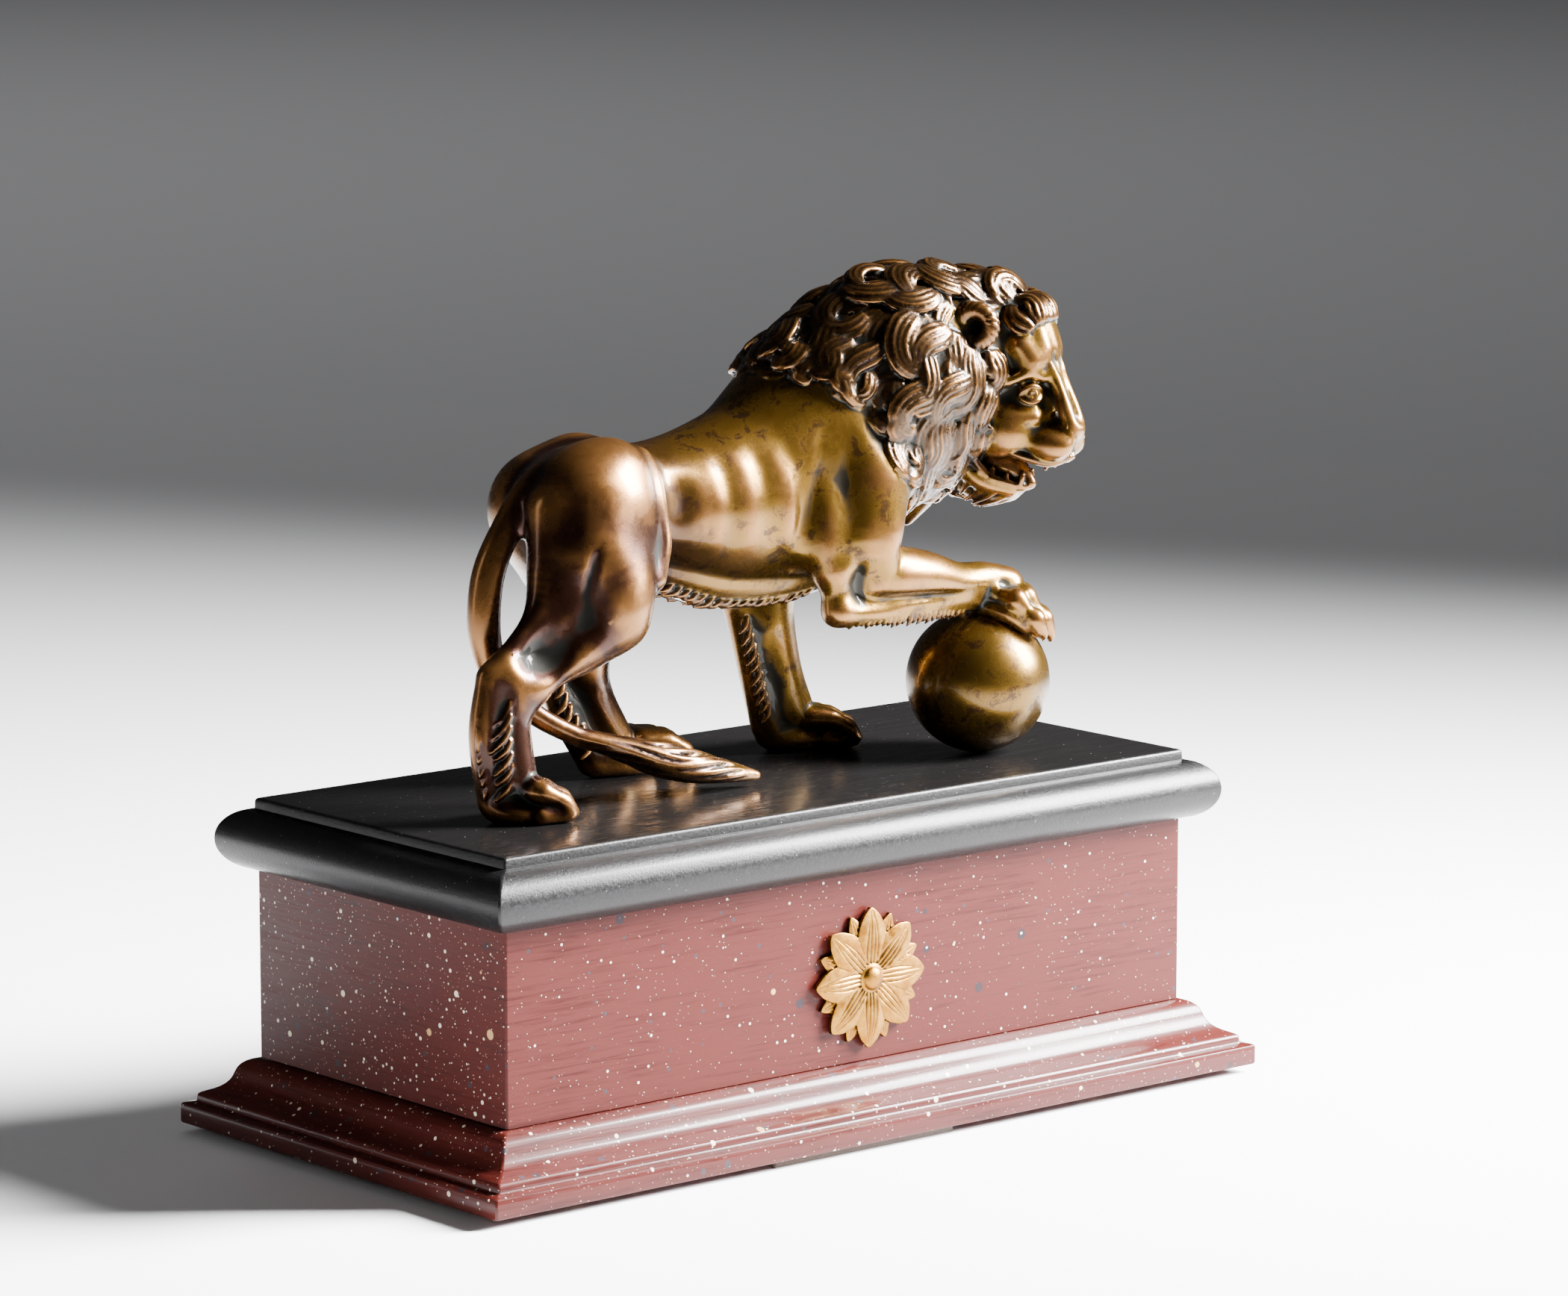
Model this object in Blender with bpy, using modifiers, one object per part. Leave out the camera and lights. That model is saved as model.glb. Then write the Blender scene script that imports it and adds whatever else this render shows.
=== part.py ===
"""Cabinet bronze of a standing lion, one forepaw on a ball, on a painted wooden plinth.

Sizes are in millimetres until each piece is finished, when it is scaled to metres.
X runs the way the lion faces, Y to its left and Z up. The origin is the middle of the footprint.
Heights of the lion and the ball are measured from the top of the plinth.
"""

import math

import bmesh
import bpy
from mathutils import Euler, Matrix, Vector
from mathutils.bvhtree import BVHTree

MM = 0.001
GAP = 0.3
COLLECTION = "lion statue"

# Plinth, mm
DIE_LENGTH = 265.12
DIE_WIDTH = 120.12
FELT = 2.5
MOULDING_TOP = 22.9
NOSE_BOTTOM = 80.7
NOSE_TOP = 98.9
PLINTH_TOP = 102.2
CORNER_ROUND = 0.8
# Base moulding as outset from the die and height: slab, fillet, hollow, then a round up to the die
BASE_PROFILE = (
    (16.9, 2.5), (17.44, 3.1), (17.44, 8.2), (16.9, 8.8), (14.2, 9.2), (13.9, 11.0), (13.2, 12.0),
    (10.4, 13.3), (8.2, 14.5), (6.4, 16.5), (5.6, 18.6), (4.7, 20.6), (3.0, 22.1), (1.0, 22.9),
)
TOP_SLAB_OUTSET = 0.7
FELT_LONG = 70.0
FELT_WIDE = 14.0
FELT_INSET = 3.5
FELT_MIDDLE_X = -9.0
END_FELT_LONG = 60.0
END_FELT_INSET = 12.0

# Gilt rosette, mm: broad petals in front, narrow ones between them, and a domed boss
ROSETTE_X = 3.3
ROSETTE_Z = 48.5
ROSETTE_RADIUS = 22.0
PETALS = 8
BACK_PETAL_SHARE = 0.9
NOTCH_SHARE = 0.72
PETAL_THICK = 1.8
PETAL_RINGS = ((1, 0), (0.93, 0.7), (0.5, 1.15))
BOSS_RINGS = ((4.2, 2.1), (3.4, 3.7), (1.8, 4.6))

# Ball, mm
BALL_RADIUS = 22.3
BALL_PLACE = Vector((82.6, -21.5, BALL_RADIUS))
PAW_GAP = 0.5

# Lion, mm
BODY_VOXEL = 1.2
BODY_EASING = 5
SKIN_VOXEL = 1.1
LION_TRIANGLES = 7500

# Trunk from rump to breast as x, y, z of the middle, half height, half width
TRUNK = (
    (-66, 2, 88, 13, 15), (-52, 0, 87, 18.5, 18.5), (-36, 0, 86, 18, 19), (-22, 0, 84.5, 21, 20.5),
    (-6, 0, 84.5, 25.5, 22.5), (12, 0, 87, 30, 24), (28, 0, 87.5, 31, 23), (42, -1, 87, 28, 19),
    (52, -3, 86, 22, 14),
)
TRUNK_DEPTH = 9

# Limbs from the trunk to the foot as x, y, z, radius
LIMBS = {
    "belly keel": (
        (-40, 0, 72, 6), (-22, 0, 66, 9), (-6, 0, 61.5, 10), (12, 0, 60.5, 10.5), (30, 0, 62, 10),
    ),
    "right shoulder blade": ((24, -14, 112, 6), (31, -18, 101, 9), (36, -21, 90, 11)),
    "right upper arm": ((37, -22, 88, 12.5), (33, -23.5, 73, 11.5), (33, -24.5, 62, 7.5)),
    "right triceps": ((15, -15, 96, 7), (16, -20, 78, 8.5), (20, -23.5, 64, 5.5)),
    "right elbow": ((21, -24, 62, 5), (23, -25, 51, 4.4)),
    "right forearm": (
        (34, -24.5, 60, 7), (43, -25, 59.5, 8.8), (56, -25, 57.6, 8.2),
        (70, -24.5, 54.2, 6.6), (82, -24, 53.6, 6), (90, -25.5, 51.6, 6),
    ),
    "right forearm bone": (
        (22, -25, 50, 4.2), (35, -26.5, 49, 3.6), (50, -26.5, 48.5, 3.2),
        (66, -25.5, 48, 3), (80, -24.5, 47.5, 2.6),
    ),
    "left shoulder blade": ((24, 14, 112, 6), (30, 18, 100, 9), (34, 21, 88, 11)),
    "left upper arm": ((34, 20, 88, 12.5), (30, 21, 70, 12), (28, 21, 54, 10.5)),
    "left triceps": ((15, 15, 94, 7), (16, 20, 76, 9), (21, 21, 60, 8)),
    "left forearm": ((30, 21, 54, 10.5), (32, 21, 40, 9.5), (37, 20.5, 24, 7.8), (41, 20, 12, 8)),
    "left forearm fur": ((21, 20, 46, 4.5), (26, 20, 28, 4.6), (32, 20, 9, 5)),
    "neck": ((26, 0, 102, 24), (48, -4, 112, 25), (72, -12, 116, 22)),
    "right thigh": ((-62, -11, 89, 15), (-65, -15, 76, 14.5), (-62, -18.5, 65, 12.5), (-60, -20, 57, 9.5)),
    "right thigh front": ((-53, -10, 96, 11), (-53, -14, 82, 11), (-56, -18, 68, 9.5)),
    "right thigh edge": (
        (-44, -13, 102, 2), (-42.5, -19, 92, 2.4), (-42.5, -22, 80, 2.4), (-47, -24, 67, 2.6),
    ),
    "right shank": ((-62, -20, 58, 10.5), (-71, -19, 50.5, 9), (-84, -18, 44, 7), (-97, -17, 41, 6)),
    "right calf": ((-72, -15, 74, 9), (-75, -16.5, 63, 7.6), (-83, -17, 52, 5.4)),
    "right hamstring": ((-74, -10, 88, 9), (-78, -13, 72, 7.4), (-86, -16, 58, 4.4), (-100, -17, 45.5, 4)),
    "right metatarsus": ((-98, -17, 43, 6.2), (-98.5, -18, 28, 6.4), (-97, -19, 12, 7)),
    "right hock fur": ((-105, -17, 43, 3.6), (-106.5, -17, 26, 4.7), (-103, -17, 7, 5)),
    "left thigh": ((-60, 12, 86, 15), (-54, 15, 74, 14.5), (-46, 18.5, 62, 12), (-40, 20, 54, 10)),
    "left thigh front": ((-50, 11, 96, 11), (-46, 14.5, 82, 11), (-43, 18, 68, 9.5)),
    "left shank": ((-40, 20, 55, 10.5), (-40, 20, 46, 9), (-44, 20, 38, 8)),
    "left metatarsus": ((-42, 20, 42, 8), (-38, 20, 26, 7.4), (-30, 20, 11, 7.5)),
    "left hock fur": ((-54, 20, 39, 4), (-49, 20, 24, 4.8), (-37, 20, 6, 5)),
    "tail": (
        (-66, 0, 97, 6), (-76, 0, 92.5, 5), (-85, 0, 82, 4.6), (-91, 0, 71, 4.9),
        (-93, 0, 60, 5), (-92.5, 0, 50, 4.8), (-89, -1, 39, 4), (-80, -6, 28.5, 3.3),
        (-68, -11, 21, 3), (-54, -15, 16, 4.4), (-38, -18, 10.5, 6.3), (-20, -21, 6, 5.6),
        (-3, -23, 2.6, 2.2),
    ),
    "chest mane": ((66, -14, 96, 14), (66, -11, 84, 9), (64, -9, 73, 4)),
}

# Round masses as centre, radii and turn in degrees
MASSES = {
    "right hip": ((-61, -10, 88), (16, 13.5, 17), (0, 0, 0)),
    "left hip": ((-61, 12, 84.5), (17, 14, 17), (0, 0, 0)),
    "mane crest": ((70, -10, 131), (20, 20, 20.5), (0, 0, -20)),
    "right hock front": ((-90, -17.5, 36), (6, 5.5, 6), (0, 0, 0)),
    "mane over withers": ((36, 0, 112), (21.5, 23, 22), (0, -18, 0)),
    "mane over neck": ((58, -7, 122), (32, 27, 29), (0, 0, -12)),
    "mane behind crown": ((86, -15, 128), (22, 20, 22), (0, 0, -25)),
    "mane right side": ((50, -20, 104), (18, 11, 26), (0, 12, 0)),
    "mane left side": ((46, 17, 106), (20, 12, 27), (0, 12, 0)),
}

# Head: the nose tip, the way the face looks, and places as forward, left and up from the nose
NOSE = Vector((102.0, -48.0, 100.9))
FACE_TURN = -65.0
HEAD_MASSES = {
    "skull": ((-33, 0, 16), (17, 15.5, 15)),
    "forehead": ((-15.5, 0, 24), (7.5, 11, 9.5)),
    "forehead hair": ((-17.5, 1, 33), (8, 10.5, 9)),
    "middle of face": ((-22, 0, 6), (11, 11, 9)),
    "nose tip": ((-3.4, 0, 0.2), (3.4, 4.4, 3.2)),
    "right whisker pad": ((-10, -4.6, -4.2), (8.6, 5.6, 5.8)),
    "left whisker pad": ((-10, 4.6, -4.2), (8.6, 5.6, 5.8)),
    "right cheek": ((-25, -9.5, 0.5), (10.5, 7, 9)),
    "left cheek": ((-25, 9.5, 0.5), (10.5, 7, 9)),
    "throat": ((-38, 0, -6), (9, 10, 15)),
}
# Forms of the head that come in pairs, as forward, left, up and radius, for the left side
HEAD_PAIRS = {
    "nose bridge": ((-17.5, 2.3, 14.4, 2.8), (-9, 2.8, 6.8, 2.7), (-4, 2.6, 2.2, 2.4)),
    "brow": ((-13.2, 3.4, 16.2, 2), (-14.2, 7.2, 18, 2.4), (-18, 11.6, 17, 2.4), (-24, 14.8, 13, 2)),
    "upper lip": ((-5, 1.8, -8.6, 2.1), (-10, 6, -9, 2.2), (-17, 9.4, -7, 2.2), (-24, 11.6, -4.8, 2)),
    "mouth corner": (
        (-24, 11.6, -4.8, 1.8), (-30, 12, -6.4, 1.8), (-32, 11, -10, 1.8), (-28, 9, -14.4, 1.8),
    ),
    "jaw": ((-38, 9.5, -9, 4.5), (-31, 8, -15.5, 3.6), (-23, 3.4, -18, 3.2)),
    "beard": ((-24, 1, -19.5, 3.6), (-31, 2, -20.5, 4.2), (-37, 2, -18, 5)),
}
EAR_PLACE = Vector((-27.5, 21.5, 33))
EAR_RADIUS = 5.5
EAR_RIM = 2.2
EAR_FACING = 78

# Planted paws as heel middle, direction in degrees, length and width; each has four toes
TOES = 4
PAWS = {
    "right hind": ((-106, -19, 0), -6, 28.5, 21),
    "left hind": ((-38, 21, 0), 2, 40, 21),
    "left fore": ((30, 20, 0), -4, 36, 22),
}

# Raised paw: its turn on the ball, how far its toes stand apart, and the way of each toe
# over the ball as angle above level, distance from the ball's middle and radius
PAW_TURN = math.radians(-36)
TOE_SPREAD = 5.6
TOE_ON_BALL = ((86, 29.6, 4.4), (68, 29.8, 4), (57, 28.8, 3.5), (45, 26.8, 3.1), (36, 25.2, 2.4))

# Mane: the line that the locks spring from, from face to withers, and its rows of locks
MANE_LINE = ((90, -24, 116), (76, -14, 118), (58, -7, 116), (42, -2, 110), (28, 0, 106))
MANE_ROWS = 6
LOCKS_A_ROW = 17
MANE_SPREAD = 150.0
MANE_FOOT = 84.0
MANE_REACH = 80.0
LOCK_POINTS = 10
LOCK_RADIUS = 3.9
LOCK_TIP = 0.35
LOCK_SWING = math.radians(40)
LOCK_LIFT = 1.2
LOCK_LENGTH = 19.0
SIDE_LENGTH = 9.0
BACK_LENGTH = 4.0
HANG = 0.15
SIDE_HANG = 0.9

# Colours in linear light, with roughness and how metallic each finish is
FINISHES = {
    "bronze": ((0.085, 0.052, 0.022, 1), 0.3, 1.0),
    "ball bronze": ((0.14, 0.09, 0.03, 1), 0.3, 1.0),
    "black lacquer": ((0.012, 0.012, 0.012, 1), 0.3, 0.0),
    "red stone paint": ((0.2, 0.05, 0.035, 1), 0.35, 0.0),
    "gilt brass": ((0.55, 0.36, 0.12, 1), 0.35, 1.0),
    "brown felt": ((0.04, 0.022, 0.015, 1), 0.95, 0.0),
}


def collection():
    """Gives the collection that holds the model."""
    found = bpy.data.collections.get(COLLECTION)
    if found is None:
        found = bpy.data.collections.new(COLLECTION)
        bpy.context.scene.collection.children.link(found)
    return found


def finish(name):
    """Gives a finish as a material."""
    material = bpy.data.materials.get(name)
    if material is None:
        colour, roughness, metallic = FINISHES[name]
        material = bpy.data.materials.new(name)
        material.use_nodes = True
        shader = material.node_tree.nodes["Principled BSDF"]
        shader.inputs["Base Color"].default_value = colour
        shader.inputs["Roughness"].default_value = roughness
        shader.inputs["Metallic"].default_value = metallic
    return material


def new_object(name, bm, material=None, scale=MM):
    """Puts a bmesh in a new object of the model's collection."""
    bmesh.ops.scale(bm, verts=bm.verts, vec=(scale, scale, scale))
    mesh = bpy.data.meshes.new(name)
    bm.to_mesh(mesh)
    bm.free()
    item = bpy.data.objects.new(name, mesh)
    collection().objects.link(item)
    if material:
        mesh.materials.append(finish(material))
    return item


def smooth_path(stations, step):
    """Reads a smooth curve through the stations at about the given step, radii and all."""
    stations = [Vector(s) for s in stations]
    padded = [2 * stations[0] - stations[1]] + stations + [2 * stations[-1] - stations[-2]]
    path = []
    for before, here, there, after in zip(padded, padded[1:], padded[2:], padded[3:]):
        pieces = max(1, math.ceil((there - here).length / step))
        for piece in range(pieces):
            t = piece / pieces
            path.append(0.5 * (
                2 * here + (there - before) * t
                + (2 * before - 5 * here + 4 * there - after) * t ** 2
                + (3 * here - before - 3 * there + after) * t ** 3))
    return path + [stations[-1]]


def round_end(end, inner):
    """Gives the stations that close a limb's end with half a ball."""
    away = (end.xyz - inner.xyz).normalized()
    cap = []
    for angle in (30, 55, 75, 88):
        turn = math.radians(angle)
        place = end.xyz + away * end.w * math.sin(turn)
        cap.append(Vector((*place, end.w * math.cos(turn))))
    return cap


def limbs_mesh(limbs, step=2.0):
    """Makes round tapered limbs, each a bevelled curve with round ends, as one mesh."""
    curve = bpy.data.curves.new("limbs", "CURVE")
    curve.dimensions = "3D"
    curve.bevel_depth = 1
    curve.bevel_resolution = 4
    curve.use_fill_caps = True
    for stations in limbs:
        path = smooth_path(stations, step)
        path = round_end(path[0], path[1])[::-1] + path + round_end(path[-1], path[-2])
        spline = curve.splines.new("POLY")
        spline.points.add(len(path) - 1)
        for point, station in zip(spline.points, path):
            point.co = (*station.xyz, 1)
            point.radius = max(station.w, 0.05)
    item = bpy.data.objects.new("limbs", curve)
    collection().objects.link(item)
    mesh = bpy.data.meshes.new_from_object(item.evaluated_get(bpy.context.evaluated_depsgraph_get()))
    bpy.data.objects.remove(item)
    bpy.data.curves.remove(curve)
    return mesh


def add_limbs(bm, limbs, step=2.0):
    """Adds limbs to a form that is being built."""
    mesh = limbs_mesh(limbs, step)
    bm.from_mesh(mesh)
    bpy.data.meshes.remove(mesh)


def add_mass(bm, centre, radii, turn=(0, 0, 0), fineness=3):
    """Adds one ellipsoid: a muscle, a pad or a bone end."""
    angles = Euler([math.radians(a) for a in turn])
    matrix = Matrix.LocRotScale(Vector(centre), angles, Vector(radii))
    bmesh.ops.create_icosphere(bm, subdivisions=fineness, radius=1, matrix=matrix)


def from_nose(forward, left, up):
    """Turns a place in the head's frame into one in the lion's."""
    return NOSE + Matrix.Rotation(math.radians(FACE_TURN), 3, "Z") @ Vector((forward, left, up))


def toes_of_paw(heel, angle, length, width):
    """Gives the four toes of a planted paw as limbs, from knuckle to ground."""
    turn = Matrix.Rotation(math.radians(angle), 3, "Z")
    toes = []
    for toe in range(TOES):
        across = (toe - (TOES - 1) / 2) * width / TOES * 1.14
        reach = length - 2.8 - 0.045 * across ** 2
        bend = (
            (length * 0.42, across * 0.5, 8.6, 4.4), (reach - 9, across * 0.9, 7.2, 3.8),
            (reach - 4.5, across, 5.6, 3.6), (reach, across * 1.03, 3.2, 3),
        )
        toes.append([(*(Vector(heel) + turn @ Vector((x, y, z))), r) for x, y, z, r in bend])
    return toes


def toes_on_ball():
    """Gives the toes of the raised paw, bent over the front of the ball."""
    ahead = Vector((math.cos(PAW_TURN), math.sin(PAW_TURN), 0))
    aside = Vector((-ahead.y, ahead.x, 0))
    toes = []
    for toe in range(TOES):
        across = (toe - (TOES - 1) / 2) * TOE_SPREAD
        stations = []
        for angle, reach, radius in TOE_ON_BALL:
            lean = math.radians(angle)
            away = ahead * math.cos(lean) + Vector((0, 0, math.sin(lean)))
            gather = min(1, (95 - angle) / 35)
            place = BALL_PLACE + away * (reach - 0.02 * across ** 2) + aside * across * gather
            stations.append((*place, radius))
        toes.append(stations)
    return toes


def ears():
    """Gives the rims of both ears as closed rings."""
    rims = []
    for side in (-1, 1):
        centre = from_nose(EAR_PLACE.x, EAR_PLACE.y * side, EAR_PLACE.z)
        facing = Matrix.Rotation(math.radians(FACE_TURN + EAR_FACING * side), 3, "Z")
        angles = [2 * math.pi * turn / 12 for turn in range(13)]
        spots = [centre + facing @ Vector((0, math.cos(a), math.sin(a))) * EAR_RADIUS for a in angles]
        rims.append([(*spot, EAR_RIM) for spot in spots])
    return rims


def fused(bm, voxel, easing):
    """Fuses overlapping forms into one skin and eases the creases between them."""
    item = new_object("fusing", bm, scale=1)
    skin = item.modifiers.new("skin", "REMESH")
    skin.mode = "VOXEL"
    skin.voxel_size = voxel
    ease = item.modifiers.new("ease", "SMOOTH")
    ease.factor = 0.5
    ease.iterations = easing
    evaluated = item.evaluated_get(bpy.context.evaluated_depsgraph_get())
    result = bmesh.new()
    result.from_mesh(evaluated.to_mesh())
    evaluated.to_mesh_clear()
    bpy.data.objects.remove(item)
    return result


def body():
    """Gives the lion's skin before the hair is laid on it."""
    bm = bmesh.new()
    for x, y, z, half_height, half_width in smooth_path(TRUNK, 3.0):
        add_mass(bm, (x, y, z), (TRUNK_DEPTH, half_width, half_height), fineness=2)
    for centre, radii, turn in MASSES.values():
        add_mass(bm, centre, radii, turn)
    for place, radii in HEAD_MASSES.values():
        add_mass(bm, from_nose(*place), radii, (0, 0, FACE_TURN))
    limbs = list(LIMBS.values()) + toes_on_ball() + ears()
    for stations in HEAD_PAIRS.values():
        for side in (-1, 1):
            limbs.append([(*from_nose(ahead, left * side, up), r) for ahead, left, up, r in stations])
    for heel, angle, length, width in PAWS.values():
        turn = Matrix.Rotation(math.radians(angle), 3, "Z")
        sole = Vector(heel) + turn @ Vector((length * 0.42, 0, 6))
        add_mass(bm, sole, (length * 0.4, width * 0.42, 8), (0, 0, angle))
        limbs += toes_of_paw(heel, angle, length, width)
    add_limbs(bm, limbs)
    return fused(bm, BODY_VOXEL, BODY_EASING)


def mane_locks(skin):
    """Lays rows of S-shaped locks over the neck, from the face back and down to the shoulders."""
    path = smooth_path(MANE_LINE, 2.0)
    locks = []
    for row in range(MANE_ROWS):
        share = row / (MANE_ROWS - 1)
        number = min(round(share * (len(path) - 1)), len(path) - 2)
        middle = path[number]
        back = (path[number + 1] - middle).normalized()
        side = back.cross(Vector((0, 0, 1))).normalized()
        top = side.cross(back)
        for lock in range(LOCKS_A_ROW):
            spread = (lock + 0.5 * (row % 2)) / (LOCKS_A_ROW - 1) * 2 - 1
            angle = math.radians(MANE_SPREAD * spread)
            out = top * math.cos(angle) + side * math.sin(angle)
            root, normal, _, _ = skin.ray_cast(middle + out * MANE_REACH, -out)
            if root is None or root.z < MANE_FOOT:
                continue
            aside = abs(math.sin(angle))
            flow = (back - Vector((0, 0, HANG + SIDE_HANG * aside))).normalized()
            length = LOCK_LENGTH + SIDE_LENGTH * aside + BACK_LENGTH * share
            swing = LOCK_SWING if (lock + row) % 2 else -LOCK_SWING
            locks.append(laid_lock(skin, root, normal, flow, length, swing))
    return locks


def laid_lock(skin, root, normal, flow, length, swing):
    """Walks one lock over the skin from its root, swinging from side to side as it goes."""
    place = root
    stations = []
    for number in range(LOCK_POINTS):
        share = number / (LOCK_POINTS - 1)
        radius = LOCK_RADIUS * (1 - share) ** 0.5 * min(1, 0.55 + 2 * share) + LOCK_TIP
        lift = LOCK_LIFT * (1 - 0.65 * share)
        stations.append((*(place + normal * lift), radius))
        heading = (flow - normal * flow.dot(normal)).normalized()
        turn = swing * math.sin(2 * math.pi * (0.9 * share + 0.1))
        heading = Matrix.Rotation(turn, 3, normal) @ heading
        place, normal, _, _ = skin.find_nearest(place + heading * length / LOCK_POINTS)
    return stations


def keep_largest(bm):
    """Removes sealed bubbles and crumbs, so that one closed skin is left."""
    left = set(bm.faces)
    shells = []
    while left:
        shell = {left.pop()}
        edge_of_shell = set(shell)
        while edge_of_shell:
            near = {f for face in edge_of_shell for e in face.edges for f in e.link_faces}
            edge_of_shell = near - shell
            shell |= near
        left -= shell
        shells.append(shell)
    shells.sort(key=len)
    crumbs = [face for shell in shells[:-1] for face in shell]
    bmesh.ops.delete(bm, geom=crumbs, context="FACES")


def cut_flat(bm, height):
    """Cuts a closed form off flat at a height and closes it again."""
    geometry = bm.verts[:] + bm.edges[:] + bm.faces[:]
    bmesh.ops.bisect_plane(bm, geom=geometry, dist=1e-5, plane_co=(0, 0, height), plane_no=(0, 0, 1),
                           clear_inner=True)
    rim = [e for e in bm.edges if e.is_boundary]
    bmesh.ops.triangle_fill(bm, use_beauty=True, edges=rim)
    bmesh.ops.recalc_face_normals(bm, faces=bm.faces)


def lion():
    """Makes the lion: skin, locks, one fused surface, flat soles and a hollow for the ball."""
    skin = body()
    locks = mane_locks(BVHTree.FromBMesh(skin))
    add_limbs(skin, locks)
    bm = fused(skin, SKIN_VOXEL, 1)
    keep_largest(bm)
    item = new_object("thinning", bm, scale=1)
    thin = item.modifiers.new("thin", "DECIMATE")
    thin.ratio = LION_TRIANGLES / sum(len(f.vertices) - 2 for f in item.data.polygons)
    evaluated = item.evaluated_get(bpy.context.evaluated_depsgraph_get())
    bm = bmesh.new()
    bm.from_mesh(evaluated.to_mesh())
    evaluated.to_mesh_clear()
    bpy.data.objects.remove(item)
    for vert in bm.verts:
        away = vert.co - BALL_PLACE
        if away.length < BALL_RADIUS + PAW_GAP:
            vert.co = BALL_PLACE + away.normalized() * (BALL_RADIUS + PAW_GAP)
    cut_flat(bm, GAP)
    bmesh.ops.translate(bm, verts=bm.verts, vec=(0, 0, PLINTH_TOP))
    return new_object("lion", bm, "bronze")


def ball():
    """Makes the ball, with a small flat that it stands on."""
    bm = bmesh.new()
    bmesh.ops.create_uvsphere(bm, u_segments=28, v_segments=16, radius=BALL_RADIUS,
                              matrix=Matrix.Translation(BALL_PLACE))
    cut_flat(bm, GAP)
    bmesh.ops.translate(bm, verts=bm.verts, vec=(0, 0, PLINTH_TOP))
    return new_object("ball", bm, "ball bronze")


def outline(outset, corner=CORNER_ROUND, corner_steps=2):
    """Gives the die's outline, set out by a distance, with rounded corners."""
    reach_x = DIE_LENGTH / 2 + outset - corner
    reach_y = DIE_WIDTH / 2 + outset - corner
    points = []
    for number, (sign_x, sign_y) in enumerate(((1, 1), (-1, 1), (-1, -1), (1, -1))):
        for step in range(corner_steps + 1):
            angle = math.pi / 2 * (number + step / corner_steps)
            points.append((sign_x * reach_x + corner * math.cos(angle),
                           sign_y * reach_y + corner * math.sin(angle)))
    return points


def moulding(name, profile, material):
    """Makes a block whose sides follow a profile of outset and height, mitred at the corners."""
    bm = bmesh.new()
    rings = []
    for outset, height in profile:
        verts = [bm.verts.new((x, y, height)) for x, y in outline(outset)]
        rings.append([bm.edges.new((a, b)) for a, b in zip(verts, verts[1:] + verts[:1])])
    for lower, upper in zip(rings, rings[1:]):
        bmesh.ops.bridge_loops(bm, edges=lower + upper)
    for ring in (rings[0], rings[-1]):
        bmesh.ops.contextual_create(bm, geom=ring)
    bmesh.ops.recalc_face_normals(bm, faces=bm.faces)
    return new_object(name, bm, material)


def plinth():
    """Makes base, die and cap, one standing on the other."""
    moulding("plinth_base", BASE_PROFILE, "red stone paint")
    die_bottom = MOULDING_TOP + GAP
    die_top = NOSE_BOTTOM - GAP
    moulding("plinth_die", ((0, die_bottom), (0, die_top)), "red stone paint")
    nose_radius = (NOSE_TOP - NOSE_BOTTOM) / 2
    middle = (NOSE_TOP + NOSE_BOTTOM) / 2
    cap = []
    for step in range(11):
        angle = math.pi * (step / 10 - 0.5)
        cap.append((0.3 + nose_radius * math.cos(angle), middle + nose_radius * math.sin(angle)))
    cap[-1] = (TOP_SLAB_OUTSET, NOSE_TOP)
    cap += [(TOP_SLAB_OUTSET - 0.3, PLINTH_TOP - 0.7), (TOP_SLAB_OUTSET - 1.1, PLINTH_TOP)]
    moulding("plinth_cap", cap, "black lacquer")


def rosette():
    """Makes the flower on the die's front: two rings of pointed petals round a boss, cast as one."""
    bm = bmesh.new()
    points = []
    for petal in range(PETALS * 2):
        tip = ROSETTE_RADIUS * (BACK_PETAL_SHARE if petal % 2 else 1)
        notch = ROSETTE_RADIUS * NOTCH_SHARE
        for share, reach in ((0, notch), (0.3, (tip + notch) / 2), (0.5, tip), (0.7, (tip + notch) / 2)):
            angle = math.pi * (petal + share) / PETALS
            points.append(Vector((reach * math.cos(angle), reach * math.sin(angle))))
    rings = []
    for share, height in PETAL_RINGS:
        rings.append([(*(point * share), height * PETAL_THICK) for point in points])
    for radius, height in BOSS_RINGS:
        rings.append([(*(point.normalized() * radius), height) for point in points])
    loops = []
    for ring in rings:
        verts = [bm.verts.new(place) for place in ring]
        loops.append([bm.edges.new((a, b)) for a, b in zip(verts, verts[1:] + verts[:1])])
    for lower, upper in zip(loops, loops[1:]):
        bmesh.ops.bridge_loops(bm, edges=lower + upper)
    for loop in (loops[0], loops[-1]):
        bmesh.ops.contextual_create(bm, geom=loop)
    bmesh.ops.recalc_face_normals(bm, faces=bm.faces)
    place = Matrix.Translation((ROSETTE_X, -DIE_WIDTH / 2 - GAP, ROSETTE_Z))
    bmesh.ops.transform(bm, matrix=place @ Matrix.Rotation(math.pi / 2, 4, "X"), verts=bm.verts)
    return new_object("rosette", bm, "gilt brass")


def felt(name, centre_x, centre_y, length, width):
    """Makes one strip of felt under the base."""
    bm = bmesh.new()
    matrix = Matrix.Translation((centre_x, centre_y, (FELT - GAP) / 2))
    matrix @= Matrix.Diagonal((length, width, FELT - GAP, 1))
    bmesh.ops.create_cube(bm, size=1, matrix=matrix)
    return new_object(name, bm, "brown felt")


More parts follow.
